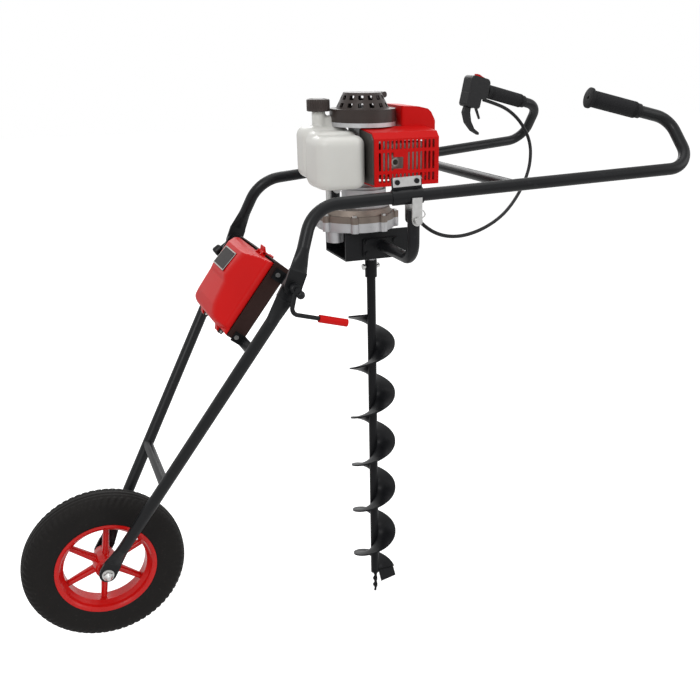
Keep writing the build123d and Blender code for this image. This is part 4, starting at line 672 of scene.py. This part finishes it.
HINGE_LUG = [(2, 44), (-8, 38), (-11, 33), (-10, 27), (-3, 27), (-1.2, 34), (-0.6, 35.8), (4, 35.8),
             (4, 44)]
LATCH_LUG = [(171, 40), (178, 38), (184.5, 40), (184.5, 46.5), (176, 50), (166, 55)]
bm = bmesh.new()
for place in (-0.070, 0.070):
    box_slab(bm, HINGE_LUG, place - 0.0095, place + 0.0095)
for place in (-0.0775, -0.0465):
    box_slab(bm, LATCH_LUG, place, place + 0.004)
lugs = new_piece("tool_lid_lugs", bm, "lid", "red_plastic", (), 30)
rounded(lugs, 0.0006)

PLATE = [(0.102, 0.0846), (0.148, 0.0801)]  # the label plate's two ends, as (up, out)
PLATE_ACROSS = (-0.038, 0.050)
BORDER = 0.0022
bm = bmesh.new()
for (up0, up1), (y0, y1) in (
        ((0, 1), (PLATE_ACROSS[0], PLATE_ACROSS[0] + BORDER)),
        ((0, 1), (PLATE_ACROSS[1] - BORDER, PLATE_ACROSS[1])),
        ((0, 0.05), PLATE_ACROSS), ((0.95, 1), PLATE_ACROSS)):
    corners = []
    for share in (up0, up1):
        up = PLATE[0][0] + (PLATE[1][0] - PLATE[0][0]) * share
        out = PLATE[0][1] + (PLATE[1][1] - PLATE[0][1]) * share
        corners.append((up * 1000, out * 1000))
    raised = [(up, out + 0.5) for up, out in corners]
    box_slab(bm, [*corners, *reversed(raised)], y0, y1)
new_piece("name_plate_border", bm, "lid", "plate_edge")

# ---------------------------------------------------------------- throttle cable
CABLE_D = 0.009
TIP = Vector((0.408, 0.238, 1.268))
CONTROL_X = Vector(RIGHT_RUN)
CONTROL_Y = Vector((0.229261, 0.030412, 0.972890))
cable_route = [
    TIP + CONTROL_X * 0.0192 - CONTROL_Y * 0.0226,
    TIP + CONTROL_X * 0.058 - CONTROL_Y * 0.0235,
    (0.507, 0.253, 1.214),
    (0.551, 0.256, 1.180),
    (0.578, 0.247, 1.128),
    (0.568, 0.226, 1.074),
    (0.530, 0.192, 1.028),
    (0.480, 0.152, 0.994),
    (0.424, 0.110, 0.968),
    (0.366, 0.076, 0.950),
    (0.306, 0.050, 0.938),
    (0.246, 0.032, 0.934),
    (0.190, 0.022, 0.944),
    (0.146, 0.022, 0.970),
    (0.116, 0.034, 1.010),
    (0.103, 0.050, 1.052),
]


def smooth_line(points):
    """The points along the smooth NURBS line that has these control points."""
    data = bpy.data.curves.new("line", "CURVE")
    data.dimensions = "3D"
    data.resolution_u = 10
    spline = data.splines.new("NURBS")
    spline.points.add(len(points) - 1)
    for spot, point in zip(spline.points, points):
        spot.co = (*point, 1)
    spline.order_u = 3
    spline.use_endpoint_u = True
    holder = bpy.data.objects.new("line", data)
    bpy.context.scene.collection.objects.link(holder)
    bpy.context.view_layer.update()
    line = bpy.data.meshes.new_from_object(holder)
    found = [vertex.co.copy() for vertex in line.vertices]
    bpy.data.objects.remove(holder)
    bpy.data.meshes.remove(line)
    return found


def tube(line, radius, sides):
    """A bmesh with a round solid tube along a line of points, without twist."""
    bm = bmesh.new()
    ahead = (line[1] - line[0]).normalized()
    side = ahead.orthogonal().normalized()
    rings = []
    for index, point in enumerate(line):
        before = line[max(0, index - 1)]
        after = line[min(len(line) - 1, index + 1)]
        direction = (after - before).normalized()
        side = (side - direction * side.dot(direction)).normalized()
        other = direction.cross(side)
        rings.append([bm.verts.new(point + (side * math.cos(TAU * k / sides)
                                            + other * math.sin(TAU * k / sides)) * radius)
                      for k in range(sides)])
    for low, high in zip(rings, rings[1:]):
        for k in range(sides):
            bm.faces.new((low[k], low[(k + 1) % sides], high[(k + 1) % sides], high[k]))
    bm.faces.new(rings[0])
    bm.faces.new(rings[-1])
    return bm


cable_line = smooth_line(cable_route)
cable = shown("throttle_cable_sheath", built("throttle_cable_sheath",
                                             tube(cable_line, CABLE_D / 2, 16)), "cable_black", 60)
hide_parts("throttle_cable")
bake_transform(cable)

# ---------------------------------------------------------------- starter rope
ROPE_START = Vector((0.030, 0.040, 1.262))
PULL = next(joint for joint in frame["joints"] if joint["name"] == "starter_pull")
ROPE_END = ROPE_START + Vector(PULL["axis"]) * 0.018
ROPE_R = 0.0018
ROPE_STEPS = 48
rope_line = [ROPE_START.lerp(ROPE_END, k / ROPE_STEPS) for k in range(ROPE_STEPS + 1)]
rope = shown("starter_rope", built("starter_rope", tube(rope_line, ROPE_R, 12)), "rope", 60)
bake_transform(rope)
